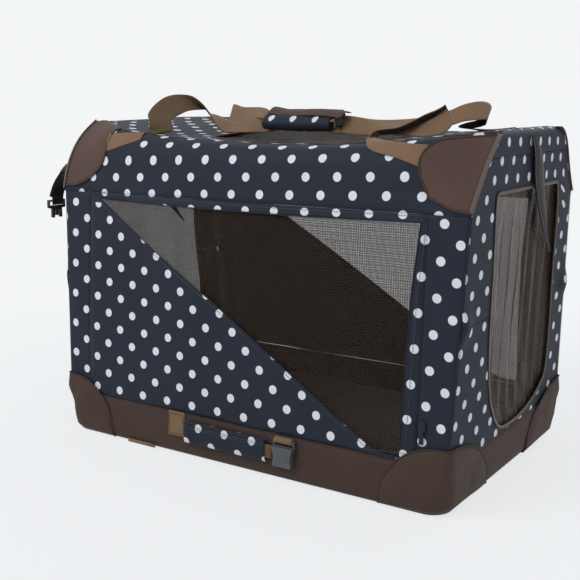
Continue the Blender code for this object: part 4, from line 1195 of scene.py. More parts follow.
class CARRIER_OT_shoulders(BuildStep):
    """The shoulders above the long walls, sloping at their ends and round between them"""

    bl_idname = "carrier.shoulders"
    bl_label = "Shoulders"

    def execute(self, context):
        f = make_finishes()
        low = DOOR_TOP - SHOULDER_Z
        for name, wall in WALLS.items():

            def shoulder_at(x, s):
                px, at = shoulder_place(x, s, wall, 0.308, SHOULDER_CUT, 0.0008)
                rise = smooth(at, -0.004, 0.020)
                ripple = wall_soft(px, SHOULDER_Z + at, wall) * (1 - rise)
                ripple += soft(px, at * 1.5, wall, 0.0012, 13) * rise
                ripple *= 1 - smooth(s, SHOULDER_CUT - 0.02, SHOULDER_CUT)
                return shoulder_point(px, at, wall, 0.0002 + ripple)

            def marks(x, s):
                px, at = shoulder_place(x, s, wall, 0.308, SHOULDER_CUT, 0.0008)
                return slope_marks(px, at / 0.85 if at < 0 else at)

            made, cut = cloth(
                f"{name}_shoulder_cloth",
                (-0.308, low),
                (0.308, SHOULDER_CUT),
                0.0065,
                shoulder_at,
                marks,
                [f["dotted_slope"], f["lining"]],
                sizes().cloth,
            )
            settle(made, "base", [f"{name}_shoulder"], folds=True)
            declare(made, cut)
        return {"FINISHED"}


class CARRIER_OT_top(BuildStep):
    """The sagging top, its dark window and the rims at its ends"""

    bl_idname = "carrier.top"
    bl_label = "Top"

    def execute(self, context):
        f = make_finishes()
        pair = [f["dotted_slope"], f["lining"]]

        def across(x, y):
            return y / TOP_CUT * (edge_y(x) + 0.004)

        def top_at(x, y, out=0.0006):
            p = top_point(x, across(x, y), out)
            p.z += soft(x, y, 5.0, 0.0016, 16) * smooth(TOP_CUT - abs(y), 0.0, 0.03)
            return p

        def marks(x, y):
            return slope_marks(x, slope_length(x, -1) + edge_y(x) + across(x, y))

        window = []
        for cx, cy, start in ((1, 1, 0), (-1, 1, 90), (-1, -1, 180), (1, -1, 270)):
            for k in range(5):
                angle = math.radians(start + 22.5 * k)
                x = 0.008 + cx * 0.102 + 0.02 * math.cos(angle)
                window.append((x, cy * 0.0587 + 0.02 * math.sin(angle)))

        made, cut = cloth(
            "top_cloth",
            (-RIM_X, -TOP_CUT),
            (RIM_X, TOP_CUT),
            0.008,
            top_at,
            marks,
            pair,
            sizes().cloth,
            hole=window,
            away=Vector((0, 0, 0.1)),
        )
        settle(made, "top", ["top_panel"])
        declare(made, cut)

        net, cut = cloth(
            "top_window_net",
            (-0.123, -0.083),
            (0.139, 0.083),
            0.009,
            lambda x, y: top_at(x, y, -0.0020),
            lambda x, y: (x, y),
            [f["net"]],
            sizes().net,
            away=Vector((0, 0, 0.1)),
        )
        settle(net, "top", ["top_window_mesh"])
        declare(net, cut)
        places = [top_at(x, y, 0.0012) for x, y in walk_round(window, 0.01)]
        up, tape = Vector((0, 0, 1)), tape_section(0.006, 0.0014, 4)
        bound = trim("top_window_binding", places, up, tape, f["patch"], closed=True)
        settle(bound, "top")
        for name, side in SIDES.items():
            self.rim(name, side, pair)
        return {"FINISHED"}

    def rim(self, name, side, pair):
        """Where the top folds over its end and runs down to the end's cloth."""
        bend, foot, tall = 0.009, 0.4000, 0.048
        arc = bend * math.pi / 2

        def lie(y, b):
            """Depth, X and height of a place, and how high it would stand on the end."""
            wall = 1 if y >= 0 else -1
            start = y / 0.100 * (edge_y(RIM_X) + 0.004)
            top_z = top_point(side * RIM_X, start, 0.0006).z
            full = arc + top_z - bend - foot
            run = b / tall * full
            angle = min(run / bend, math.pi / 2)
            x = RIM_X + bend * math.sin(angle)
            z = top_z - bend * (1 - math.cos(angle)) - max(0.0, run - arc)
            end = y / 0.100 * end_width(z, side, wall)
            return start + (end - start) * smooth(run, 0.0, arc), x, z, foot + full - run

        def rim_at(y, b):
            depth, x, z, _ = lie(y, b)
            return Vector((side * x, depth, z))

        def marks(y, b):
            depth, _, _, level = lie(y, b)
            return end_marks(depth, level)

        made, cut = cloth(
            f"{name}_top_rim",
            (-0.100, 0.0),
            (0.100, tall),
            0.005,
            rim_at,
            marks,
            pair,
            sizes().cloth,
        )
        settle(made, "top")
        declare(made, cut)


def end_soft(y, z, side):
    """Unevenness of an end's cloth. It falls to nothing at the knees' fold."""
    return soft(y, z, 7.0 + side, 0.0014, 15) * smooth(abs(z - KNEE_Z), 0.0, 0.03)


def end_marks(y, z):
    """The end's print. It crowds towards the back above the door."""
    low = (y + 0.1490) / 0.0415
    high = (y + 0.1446) / 0.0357 if y < 0 else 4.05 + y / 0.0317
    return low + (high - low) * smooth(z, 0.320, 0.372), (z + 0.025 * (y + 0.12) - 0.3757) / 0.0416


class CARRIER_OT_ends(BuildStep):
    """Each end's cloth, split at the frame's knees, and its net door with its tie"""

    bl_idname = "carrier.ends"
    bl_label = "Ends"

    def execute(self, context):
        f = make_finishes()
        for name, side in SIDES.items():
            halves = {"lower": (0.0575, KNEE_Z - 0.0002), "upper": (KNEE_Z + 0.0002, 0.3998)}

            def across(y, z):
                return y / 0.183 * end_width(z, side, 1 if y > 0 else -1)

            for part, (low, high) in halves.items():
                def end_at(y, z):
                    out = end_soft(y, z, side) * (1 - (abs(y) / 0.19) ** 4)
                    return end_point(across(y, z), z, side, 0.0001 + min(out, 0.0005))

                hole = [
                    (y * 0.183 / end_width(z, side, 1 if y > 0 else -1), z) for y, z in END_DOOR
                ]
                made, cut = cloth(
                    f"{name}_end_{part}_cloth",
                    (-0.183, low),
                    (0.183, high),
                    0.0045,
                    end_at,
                    lambda y, z: end_marks(across(y, z), z),
                    [f["dotted"], f["lining"]],
                    sizes().cloth,
                    hole=hole,
                )
                settle(made, f"{name}_{part}", [f"{name}_end_{part}"])
                declare(made, cut)
            self.door(f, name, side)
            self.tie(f, name, side)
        return {"FINISHED"}

    def door(self, f, name, side):
        """The gathered net of an end door and the tape that binds it."""
        body = f"{name}_door"
        my, mz = DOOR_MIDDLE

        def net_at(y, z):
            edge = 1 - max(abs(y - my) / 0.116, abs(z - mz) / 0.153) ** 3
            edge = max(0.0, edge)
            pleat = 0.0032 * math.sin(y * 210 + 1.3 * math.sin(z * 16) + z * 9)
            pleat += 0.0018 * math.sin(y * 470 + z * 21 + 2.0)
            slack = 0.006 * edge
            tuck = 0.0030 * math.exp(-(((z - 0.075) / 0.03) ** 2)) * math.sin(y * 380 + z * 120)
            depth = -0.0034 - slack + pleat * (0.25 + 0.75 * edge) * 0.7 + tuck * 0.4
            return Vector((side * (end_x(z) + depth), y, z))

        grown = [(my + (y - my) * 1.05, mz + (z - mz) * 1.02) for y, z in END_DOOR]
        net, cut = cloth(
            f"{name}_door_net",
            (min(y for y, _ in grown), min(z for _, z in grown)),
            (max(y for y, _ in grown), max(z for _, z in grown)),
            0.0045,
            net_at,
            lambda y, z: (y, z),
            [f["shiny_net"]],
            sizes().net,
            keep=grown,
        )
        settle(net, body, [f"{name}_door_mesh"])
        declare(net, cut)
        tape, cord = tape_section(sizes().binding, 0.0013, 4), round_section(0.0009, 6)
        edges = {
            "binding": (0.983, 0.990, 0.0004, tape, f["binding"]),
            "zip": (1.006, 1.004, 0.0007, cord, f["black"]),
        }
        door = [net]
        for kind, (grow_y, grow_z, out, section, finish) in edges.items():
            places = [
                end_point(my + (y - my) * grow_y, mz + (z - mz) * grow_z, side, out)
                for y, z in walk_round(END_DOOR, 0.007)
            ]
            up = Vector((side, 0, 0))
            made = trim(f"{name}_door_{kind}", places, up, section, finish, closed=True)
            door.append(settle(made, body))
        for made in door:
            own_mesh(made)

    def tie(self, f, name, side):
        """The strap that holds the rolled door. It hangs from the top of the end."""
        line = [(-0.006, 0.4215), (-0.003, 0.412), (0.0, 0.4042), (0.0035, 0.388)]
        line += [(0.0065, 0.3719), (0.014, 0.3557), (0.0245, 0.338), (0.0376, 0.3229)]
        line += [(0.051, 0.308), (0.0642, 0.2948), (0.0904, 0.2708)]
        face = curve_points(line, 4)

        def leaf(v):
            """Width of the strap's face, to the right of the black cord along its edge, which is
            painted shadow.
            """
            return 0.0315 * math.sin(math.pi * min(0.999, v) ** 0.8) ** 0.9 + 0.001

        def tie_at(a, b):
            share = b / 0.18
            place = share * (len(face) - 1)
            i = min(int(place), len(face) - 2)
            t = place - i
            y = face[i][0] + (face[i + 1][0] - face[i][0]) * t
            z = face[i][1] + (face[i + 1][1] - face[i][1]) * t
            across = a / 0.02
            y += across * leaf(share)
            bow = 0.003 * math.sin(math.pi * share) + 0.0022 * math.sin(math.pi * across)
            return Vector((side * (end_x(z) + 0.0018 + bow), y, z))

        made, _ = cloth(
            f"{name}_tie_strap",
            (0.0, 0.0),
            (0.02, 0.18),
            0.0035,
            tie_at,
            lambda a, b: (b, a),
            [f["black"]],
            0.0011,
        )
        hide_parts(f"tie_strap_{name}")
        # a black cord along the strap's edge: painted shadow, where a dark line of shade lies
        # beside the strap
        places = [tie_at(0.0, 0.18 * k / 40) + Vector((side * 0.0008, 0, 0)) for k in range(41)]
        up, cord = Vector((side, 0, 0)), round_section(0.0011, 6)
        edge = trim(f"{name}_tie_painted_shadow_edge", places, up, cord, f["black_plastic"])
        for part in (made, edge):
            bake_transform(part)


# The patches on the shoulders' ends, as X and the way up the slope on the flat cloth
UPPER_PATCH = {
    1: [(0.309, 0.0), (0.2891, 0.0019), (0.2686, 0.0100), (0.2573, 0.0165), (0.2495, 0.0297)]
    + [(0.2420, 0.0465), (0.2393, 0.0576), (0.2405, 0.0690), (0.2450, 0.0802)]
    + [(0.2540, 0.0931), (0.2780, 0.1005), (0.309, 0.1035)],
    -1: [(-0.309, 0.1110), (-0.2290, 0.1110), (-0.2310, 0.0990), (-0.2300, 0.0860)]
    + [(-0.2295, 0.0730), (-0.2312, 0.0600), (-0.2342, 0.0480), (-0.2425, 0.0319)]
    + [(-0.2603, 0.0155), (-0.2811, 0.0056), (-0.309, 0.0029)],
}


class CARRIER_OT_corner_patches(BuildStep):
    """The brown patches on the shoulders' ends and round the base's corners"""

    bl_idname = "carrier.corner_patches"
    bl_label = "Corner patches"

    def execute(self, context):
        f = make_finishes()
        for name, wall in WALLS.items():
            for side_name, side in SIDES.items():
                self.upper(f, f"{name}_{side_name}", wall, side)
                self.lower(f, f"{name}_{side_name}", wall, side)
                if side < 0:
                    self.over_top(f, f"{name}_{side_name}", wall, side)
        return {"FINISHED"}

    def upper(self, f, label, wall, side):
        shape = UPPER_PATCH[side]

        def patch_at(x, s, out=0.0012):
            px, at = shoulder_place(x, s, wall, 0.309, PATCH_CUT, 0.0)
            px *= 1 + 0.0006 / 0.31
            rise = 0.0012 * math.sin(math.pi * min(1, max(0, (0.309 - abs(x)) / 0.08)))
            ripple = soft(px, at, wall * 2, 0.0010, 22) * (1 - smooth(s, 0.09, PATCH_CUT))
            return shoulder_point(px, at, wall, out + rise + ripple)

        xs = [x for x, _ in shape]
        made, cut = cloth(
            f"upper_patch_{label}_cloth",
            (min(xs), 0.0),
            (max(xs), max(s for _, s in shape)),
            0.006,
            patch_at,
            lambda x, s: (x, s),
            [f["patch"]],
            0.0010,
            keep=shape,
        )
        settle(made, "base", [f"upper_patch_{label}"], folds=True)
        declare(made, cut)
        rim = shape if side > 0 else shape[1:]
        path = curve_points([(*p, 0) for p in rim], 4)
        places = [patch_at(x, s, 0.0013) for x, s, _ in path]
        up = Vector((0, wall * SLOPE_UP, SLOPE_IN))
        cord = round_section(sizes().piping, 8)
        piped = trim(f"upper_patch_{label}_piping", places, up, cord, f["band"])
        settle(piped, "base", folds=True)
        # the binding along the end's edge, coloured lighter than the patch: a painted highlight
        # where the edge catches the light
        full = max(s for _, s in shape)
        places = [patch_at(side * 0.3085, full * k / 20, 0.0016) for k in range(21)]
        up, tape = Vector((side * 0.5, wall * SLOPE_UP, SLOPE_IN)), tape_section(0.0052, 0.0014, 4)
        edge = trim(f"upper_patch_{label}_edge", places, up, tape, f["patch_edge"])
        settle(edge, "base", folds=True)

    def over_top(self, f, label, wall, side):
        """Where a left patch runs on over the top's edge."""

        def place(a, b):
            x = side * (0.3015 - a)
            return top_point(x, wall * (edge_y(x) + 0.003 - b), 0.0016)

        made, _ = cloth(
            f"upper_patch_{label}_over",
            (0.0, 0.0),
            (0.070, 0.014),
            0.004,
            place,
            lambda a, b: (a, b),
            [f["patch"]],
            0.0010,
            away=Vector((0, 0, 0.1)),
            keep=[(0, 0), (0.070, 0), (0.062, 0.007), (0.040, 0.012), (0, 0.014)],
        )
        settle(made, "top")

    def lower(self, f, label, wall, side):
        front, end, tall = 0.084, 0.122, 0.081

        def height(far):
            share = far / front if far > 0 else -far / end
            power = 2.5 if far > 0 else 1.9
            return max(0.003, tall * math.sqrt(max(0.0, 1 - min(1, share) ** power)))

        def patch_at(far, b, out=0.0012):
            z = 0.0008 + b * (height(far) - 0.0008)
            crease = 0.0030 * math.exp(-(((far + 0.012 - b * 0.03) / 0.010) ** 2)) * (1 - b) * b * 4
            swell = 0.0030 * math.sin(math.pi * b) * math.cos(far * 9)
            ripple = soft(far * 1.5, z * 1.5, side * 2 + wall, 0.0016, 26) * math.sin(math.pi * b)
            under = 0.006 * max(0.0, 1 - z / 0.006) ** 2
            out += 0.0016 * smooth(z, 0.050, 0.060)
            return corner_point(side, wall, z, far, out + swell + ripple - crease - under)

        bm = bmesh.new()
        across, up_count = 44, 12
        bmesh.ops.create_grid(bm, x_segments=across, y_segments=up_count, size=0.5)
        layer = bm.loops.layers.uv.new("print")
        for face in bm.faces:
            for loop in face.loops:
                loop[layer].uv = (loop.vert.co.x * 0.2, loop.vert.co.y * 0.08)
        for vert in bm.verts:
            far = -end + (front + end) * (vert.co.x + 0.5)
            vert.co = patch_at(far, vert.co.y + 0.5)
        bm.normal_update()
        face_out(bm, Vector((side * 0.25, wall * 0.15, 0.04)))
        bm.normal_update()
        made = piece(f"lower_patch_{label}_cloth", bm, [f["patch_low"]], 0.0010)
        settle(made, "base", [f"lower_patch_{label}"])
        fars = [-end + (front + end) * k / 60 for k in range(61)]
        places = [patch_at(far, 1.0, 0.0014) for far in fars]
        ups = [(patch_at(far, 1.0, 0.01) - patch_at(far, 1.0, 0.0)).normalized() for far in fars]
        path, cord = frames(places, ups), round_section(0.0008, 6)
        piped = sweep(f"lower_patch_{label}_piping", path, cord, [f["band"]])
        settle(piped, "base")


class CARRIER_OT_carry_handles(BuildStep):
    """The two long webbing handles and the wrap that holds them together"""

    bl_idname = "carrier.carry_handles"
    bl_label = "Carry handles"

    def execute(self, context):
        f = make_finishes()
        width = sizes().handle
        # the tan webbing, and its darker copy that paints shade on the handles
        tan = [f["tan"], f["tan_dark"]]

        def lie(x, low, high):
            """A row of webbing on the back shoulder, with how far its middle bows out."""
            a, b, middle = (over_point(x, s, 1, 0.0018) for s in (low, high, (low + high) / 2))
            return (*a, *b, ((a + b) / 2 - middle).length)

        # each row gives the webbing's two edges and how far its middle bows out
        sewn = {
            ("front", "left", "foot"): [
                (-0.2292, -0.1587, 0.3963, -0.2357, -0.1455, 0.4192, 0.0022),
                (-0.2022, -0.1557, 0.4046, -0.2136, -0.1409, 0.4207, 0.0021),
                (-0.1850, -0.1516, 0.4098, -0.1944, -0.1339, 0.4211, 0.0022),
                (-0.1765, -0.1477, 0.4137, -0.1888, -0.1221, 0.4208, 0.0026),
            ],
            ("front", "left", "loop"): [
                (-0.1849, -0.1297, 0.4148, -0.1844, -0.0943, 0.4209, 0),
                (-0.2010, -0.1080, 0.4200, -0.1580, -0.1080, 0.4222, 0),
                (-0.1979, -0.1060, 0.4302, -0.1559, -0.1060, 0.4294, 0),
                (-0.2007, -0.1040, 0.4376, -0.1599, -0.1040, 0.4354, 0),
                (-0.2056, -0.1000, 0.4456, -0.1598, -0.1000, 0.4400, 0),
                (-0.1996, -0.0940, 0.4573, -0.1532, -0.0940, 0.4449, 0),
                (-0.1847, -0.0880, 0.4682, -0.1428, -0.0880, 0.4499, 0),
                (-0.1660, -0.0820, 0.4720, -0.1324, -0.0760, 0.4513, 0),
                (-0.1389, -0.0852, 0.4694, -0.1376, -0.0548, 0.4503, 0),
                (-0.1266, -0.0753, 0.4571, -0.1403, -0.0447, 0.4439, 0),
                (-0.1211, -0.0668, 0.4426, -0.1416, -0.0372, 0.4449, 0),
                (-0.1173, -0.0596, 0.4293, -0.1340, -0.0304, 0.4419, 0),
                (-0.1099, -0.0523, 0.4212, -0.1260, -0.0237, 0.4359, 0),
                (-0.0827, -0.0410, 0.4207, -0.1074, -0.0190, 0.4347, 0),
                (-0.0595, -0.0334, 0.4213, -0.0846, -0.0146, 0.4389, 0),
                (-0.0389, -0.0320, 0.4215, -0.0617, -0.0110, 0.4397, 0),
            ],
            ("front", "right", "loop"): [
                (0.0445, -0.0335, 0.4222, 0.0275, -0.0085, 0.4405, 0),
                (0.0725, -0.0345, 0.4217, 0.0552, -0.0105, 0.4423, 0),
                (0.0884, -0.0363, 0.4200, 0.0707, -0.0137, 0.4417, 0),
                (0.1132, -0.0414, 0.4196, 0.0925, -0.0206, 0.4404, 0),
                (0.1388, -0.0494, 0.4225, 0.1156, -0.0246, 0.4345, 0),
                (0.1642, -0.0584, 0.4219, 0.1451, -0.0296, 0.4321, 0),
                (0.1885, -0.0637, 0.4206, 0.1684, -0.0363, 0.4325, 0),
                (0.2056, -0.0663, 0.4205, 0.1833, -0.0417, 0.4346, 0),
                (0.2243, -0.0666, 0.4241, 0.2042, -0.0434, 0.4428, 0),
                (0.2325, -0.0632, 0.4312, 0.2116, -0.0408, 0.4502, 0),
                (0.2290, -0.0440, 0.4390, 0.2150, -0.0450, 0.4565, 0),
                (0.2116, -0.0213, 0.4372, 0.2188, -0.0507, 0.4566, 0),
                (0.1939, -0.0202, 0.4315, 0.2064, -0.0478, 0.4509, 0),
                (0.1789, -0.0227, 0.4253, 0.1924, -0.0493, 0.4455, 0),
                (0.1623, -0.0304, 0.4210, 0.1784, -0.0576, 0.4371, 0),
                (0.1556, -0.0442, 0.4209, 0.1691, -0.0758, 0.4306, 0),
                (0.1524, -0.0567, 0.4225, 0.1598, -0.0913, 0.4289, 0),
                (0.1434, -0.0668, 0.4214, 0.1525, -0.1012, 0.4267, 0),
                (0.1449, -0.0800, 0.4187, 0.1497, -0.1140, 0.4190, 0.001),
                (0.1560, -0.1000, 0.4180, 0.1586, -0.1320, 0.4150, 0.002),
                (0.1700, -0.1200, 0.4178, 0.1700, -0.1480, 0.4095, 0.003),
                (0.1901, -0.1380, 0.4175, 0.1839, -0.1542, 0.4051, 0.0022),
                (0.2096, -0.1440, 0.4165, 0.2051, -0.1567, 0.4012, 0.0018),
                (0.2279, -0.1470, 0.4152, 0.2230, -0.1590, 0.3963, 0.0018),
                (0.2440, -0.1431, 0.4145, 0.2386, -0.1582, 0.3910, 0.0023),
            ],
            ("back", "left", "loop"): [
                lie(-0.275, 0.105, 0.070),
                lie(-0.240, 0.104, 0.069),
                (-0.2150, 0.1050, 0.4375, -0.2100, 0.1380, 0.4330, 0),
                (-0.1950, 0.0760, 0.4350, -0.1960, 0.1040, 0.4540, 0),
                (-0.1680, 0.0338, 0.4325, -0.1757, 0.0582, 0.4579, 0),
                (-0.1543, 0.0243, 0.4321, -0.1632, 0.0477, 0.4579, 0),
                (-0.1217, 0.0073, 0.4337, -0.1370, 0.0327, 0.4542, 0),
                (-0.0760, -0.0170, 0.4397, -0.0904, 0.0130, 0.4535, 0),
                (-0.0526, -0.0288, 0.4333, -0.0673, 0.0008, 0.4477, 0),
                (-0.0397, -0.0308, 0.4268, -0.0580, -0.0052, 0.4444, 0),
            ],
            ("back", "right", "loop"): [
                (0.0445, -0.0316, 0.4279, 0.0275, -0.0044, 0.4447, 0),
                (0.0763, -0.0232, 0.4266, 0.0578, 0.0032, 0.4427, 0),
                (0.1102, -0.0098, 0.4254, 0.0905, 0.0178, 0.4375, 0),
                (0.1493, 0.0119, 0.4266, 0.1306, 0.0401, 0.4386, 0),
                (0.1720, 0.0262, 0.4290, 0.1542, 0.0538, 0.4437, 0),
                (0.1890, 0.0364, 0.4315, 0.1731, 0.0636, 0.4491, 0),
                (0.2025, 0.0448, 0.4361, 0.1902, 0.0712, 0.4571, 0),
                (0.2211, 0.0515, 0.4381, 0.2084, 0.0765, 0.4608, 0),
                (0.2273, 0.0561, 0.4383, 0.2178, 0.0839, 0.4592, 0),
                (0.2255, 0.0623, 0.4370, 0.2187, 0.0937, 0.4531, 0),
                (0.2150, 0.0830, 0.4304, 0.2150, 0.0900, 0.4470, 0),
                (0.1959, 0.1057, 0.4274, 0.2102, 0.0743, 0.4375, 0),
                (0.1865, 0.1094, 0.4257, 0.1921, 0.0746, 0.4329, 0),
                (0.1826, 0.1137, 0.4251, 0.1799, 0.0783, 0.4287, 0),
                (0.1840, 0.1280, 0.4232, 0.1800, 0.0940, 0.4262, 0),
                lie(0.205, 0.066, 0.101),
                lie(0.240, 0.068, 0.103),
            ],
        }
        # stretches of the handles where one face takes the darker webbing: painted shade. The front
        # handle's left turn takes a darker copy of its own, which is also painted shade
        dark = {
            ("front", "left", "loop"): (0.0, 1.0, False),
            ("front", "right", "loop"): (0.43, 0.70, False),
            ("back", "right", "loop"): (0.62, 0.84, False),
        }
        for key, points in sewn.items():
            name, side_name, part = key
            side = SIDES[side_name]
            label = f"carry_handle_{name}_{side_name}"
            if part == "foot":
                label += "_foot"
            pair = [f["tan"], f["tan_shade"]] if key[:2] == ("front", "left") else tan
            made = ribbon(label, points, width, pair, steps=5, dark=dark.get(key))
            if part == "foot":
                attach(made, "top")
                continue
            if side < 0:
                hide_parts(f"carry_handle_{name}")
            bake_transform(made)
        self.grip(f)
        return {"FINISHED"}

    def grip(self, f):
        """The dotted wrap, its lifted flap and the two ends of tape beside it."""
        middle = Vector((0, -0.0215, 0.4385))
        rows = []
        for k in range(25):
            x = -0.052 + 0.104 * k / 24
            sag = 0.0012 * math.sin(math.pi * k / 24)
            rows.append(middle + Vector((x, 0.002 * math.sin(x * 30), -sag - 0.016 * x)))
        lean = math.radians(24)
        across = Vector((0, math.cos(lean), math.sin(lean)))
        over = Vector((0, -math.sin(lean), math.cos(lean)))

        def wrap_at(i, a, b):
            bulge = 1 + 0.10 * math.sin(math.pi * i / 24) + soft(rows[i].x, a, b, 0.10, 60)
            return rows[i] + across * a * (0.97 + 0.03 * bulge) + over * b * bulge

        section = squared_section(0.0205, 0.8, 0.0080, 0.7, 28)
        layout = (-0.0560, 0.0285, 0.0335, 0.0427)
        bm = sleeve_mesh([row.x for row in rows], section, 0.012, layout, wrap_at)
        wrap = piece("grip_wrap_sleeve", bm, [f["dotted"], f["patch"]], 0.0016, 1.0)
        settle(wrap, "carry_handle", ["grip_wrap"])

        def flap_at(x, t):
            lift = 0.0035 * smooth(-x, 0.030, 0.048) + 0.0010 * math.sin(x * 60)
            y = -0.0330 + t * 0.030 - 0.004 * smooth(x, 0.03, 0.065)
            z = 0.4500 + 0.0025 * math.sin(math.pi * t) + lift - 0.030 * max(0, x - 0.04)
            z -= 0.016 * x + 0.006 * (1 - t) ** 3
            return Vector((x, y, z))

        made, _ = cloth(
            "grip_wrap_flap",
            (-0.050, 0.0),
            (0.068, 1.0),
            0.02,
            flap_at,
            lambda a, b: (a, b * 0.03),
            [f["patch"]],
            0.0016,
            away=Vector((0, 0, 0.3)),
        )
        made.modifiers.new("Round", "SUBSURF").levels = 2
        made.modifiers["Round"].render_levels = 2
        settle(made, "carry_handle")
        curls = {
            "tape_end": [(0.0535, 0.000, 0.0), (0.0605, -0.001, 0.0), (0.0600, -0.010, 0.2)],
            "hook_end": [(0.0650, 0.004, 0.0), (0.0615, 0.0025, 0.0), (0.0640, -0.009, 0.1)],
        }
        for label, steps in curls.items():
            points = [(x, -0.034, 0.4385 + dz, 0.35 + t) for x, dz, t in steps]
            kind = f["tan"] if label == "tape_end" else f["black"]
            end = ribbon(f"grip_{label}", points, 0.015, [kind], thick=0.0016)
            settle(end, "carry_handle")


class CARRIER_OT_low_handle(BuildStep):
    """The low handle on the front: tab, dotted sleeve, webbing turn and buckle"""

    bl_idname = "carrier.low_handle"
    bl_label = "Low handle"

    def execute(self, context):
        f = make_finishes()
        up = Vector((0, -1, 0.06))
        face = 0.0018
        levels = [0.0255 + 0.0325 * k / 12 for k in range(13)]
        places = [wall_point(-0.095, z, -1, face + 0.0006 * math.sin(z * 90)) for z in levels]
        tab = trim("low_handle_tab", places, up, tape_section(0.028, 0.0020, 10), f["tan"])
        settle(tab, "base", ["front_handle_tab"])
        corners = [(-0.107, 0.0285), (-0.107, 0.0550), (-0.083, 0.0550), (-0.083, 0.0285)]
        outline = walk_round(corners, 0.0042)
        at = [wall_point(x, z, -1, face + 0.0014) for x, z in outline + outline[:1]]
        sewn = stitches("low_handle_tab_stitches", at, [up] * len(at), f["tan_dark"])
        settle(sewn, "base")
        self.sleeve(f)
        self.buckle(f)
        foot = [wall_point(x, 0.003, -1, 0.0016) for x in (-0.181, -0.165, -0.149, -0.133)]
        flat = tape_section(0.0050, 0.0016, 4)
        tape = trim("base_seam_tape", foot, Vector((0, -1, 0)), flat, f["tan"])
        settle(tape, "base")
        return {"FINISHED"}

    def sleeve(self, f):
        """A padded, dotted sleeve on webbing. Its lower edge is free and its ends are open."""
        low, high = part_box("front_handle_sleeve")
        left, right = -0.077, 0.053
        middle = Vector((0, (low.y + high.y) / 2, (low.z + high.z) / 2))
        half_z, half_y = (high.z - low.z) / 2, (high.y - low.y) / 2
        rows = 34
        xs = [left + (right - left) * i / rows for i in range(rows + 1)]

        def sleeve_at(i, a, b):
            """On the sleeve, which a pinched seam near its top edge draws in."""
            round_end = math.sin(math.pi * i / rows) ** 0.4
            swell = 0.72 + 0.28 * round_end + soft(xs[i], a * 2, b, 0.16, 45)
            pinch = 1 - 0.45 * math.exp(-(((a - half_z * 0.62) / 0.0022) ** 2))
            return middle + Vector((xs[i], -b * swell * pinch, a))

        section = squared_section(half_z, 0.7, half_y, 0.8, 26)
        bm = sleeve_mesh(xs, section, 0.0, (-0.0520, 0.0080, 0.0427, 0.0427), sleeve_at)
        made = piece("low_handle_sleeve", bm, [f["dotted"], f["lining"]], 0.0011)
        settle(made, "front_handle", ["front_handle_sleeve"])
        xs = [left + (right - left) * k / 30 for k in range(31)]
        for n, (dz, out) in enumerate(((0.0093, 0.0042), (0.0066, 0.0046))):
            at = [middle + Vector((x, -out, dz)) for x in xs]
            sewn = stitches(
                f"low_handle_sleeve_stitches_{n}", at, [Vector((0, -1, 0))] * len(at), f["thread"]
            )
            settle(sewn, "front_handle")
        ends = (left - 0.0035, -0.04, 0.0, 0.04, right + 0.009)
        path = [middle + Vector((x, 0.0008, -0.001)) for x in ends]
        flat = tape_section(0.018, 0.0024, 8)
        strap = trim("low_handle_webbing", path, Vector((0, -1, 0)), flat, f["tan"])
        settle(strap, "front_handle")

    def buckle(self, f):
        """The webbing turned round the buckle's bar, and the socket half of the buckle."""
        low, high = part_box("buckle_loop")
        middle = (low + high) / 2
        ring = round_section((high.z - low.z) / 2, 12)
        path = [Vector((low.x + (high.x - low.x) * k / 6, middle.y, middle.z)) for k in range(7)]
        roll = trim("buckle_webbing_turn", path, Vector((0, 0, 1)), ring, f["tan"])
        settle(roll, "base", ["buckle_loop"])
        made = refined("buckle_female", "buckle_socket", [f["grey_plastic"]], 0.0006)
        settle(made, "buckle", ["buckle_female"])
        low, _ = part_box("buckle_female")
        ridge = round_section(0.0006, 6, 0.8)
        for k in range(4):
            z = low.z + 0.0075 + 0.0032 * k
            half = 0.0105 - 0.0004 * k
            at = [Vector((middle.x - half + half * 2 * n / 8, low.y - 0.0001, z)) for n in range(9)]
            rib = trim(f"buckle_rib_{k}", at, Vector((0, -1, 0)), ridge, f["grey_plastic"])
            settle(rib, "buckle")


class CARRIER_OT_side_strap(BuildStep):
    """The strap at the left end with the other half of the buckle"""

    bl_idname = "carrier.side_strap"
    bl_label = "Side strap"

    def execute(self, context):
        f = make_finishes()
        bar_x, bar_y, bar_z = -0.342, -0.151, 0.3232
        tan = [
            (-0.3080, -0.1260, 0.3850, 0.75),
            (-0.3140, -0.1300, 0.3830, 0.55),
            (-0.3230, -0.1350, 0.3760, 0.30),
            (-0.3300, -0.1385, 0.3660, 0.12),
            (-0.3335, -0.1405, 0.3580, 0.05),
        ]
        # the strap's lower run, which lies in shadow, is drawn in black webbing: painted shadow on
        # the tan strap. The turn round the buckle's bar goes on in the same black
        dark = [
            (-0.3315, -0.1395, 0.3620, 0.08),
            (-0.3370, -0.1420, 0.3530, 0.02),
            (-0.3410, -0.1450, 0.3430, 0.0),
            (-0.3425, -0.1480, 0.3330, 0.0),
            (bar_x, bar_y, bar_z + 0.0022, 0.0),
        ]
        first = ribbon("side_strap_tan_tape", tan, 0.024, [f["tan"]], thick=0.0018)
        settle(first, "side_strap", ["side_strap_webbing"])
        second = ribbon("side_strap_painted_shadow_tape", dark, 0.025, [f["black"]], thick=0.0020)
        settle(second, "side_strap")
        tape = [(bar_x + 0.0012, bar_y + 0.0022, bar_z + dz, 0.0) for dz in (0.006, 0.0, -0.006)]
        turn = ribbon("side_strap_turn", tape, 0.021, [f["black"]], thick=0.0016)
        settle(turn, "strap_buckle")
        made = refined("buckle_male", "buckle_prongs", [f["black_plastic"]], 0.0004)
        settle(made, "strap_buckle", ["buckle_male"])
        return {"FINISHED"}


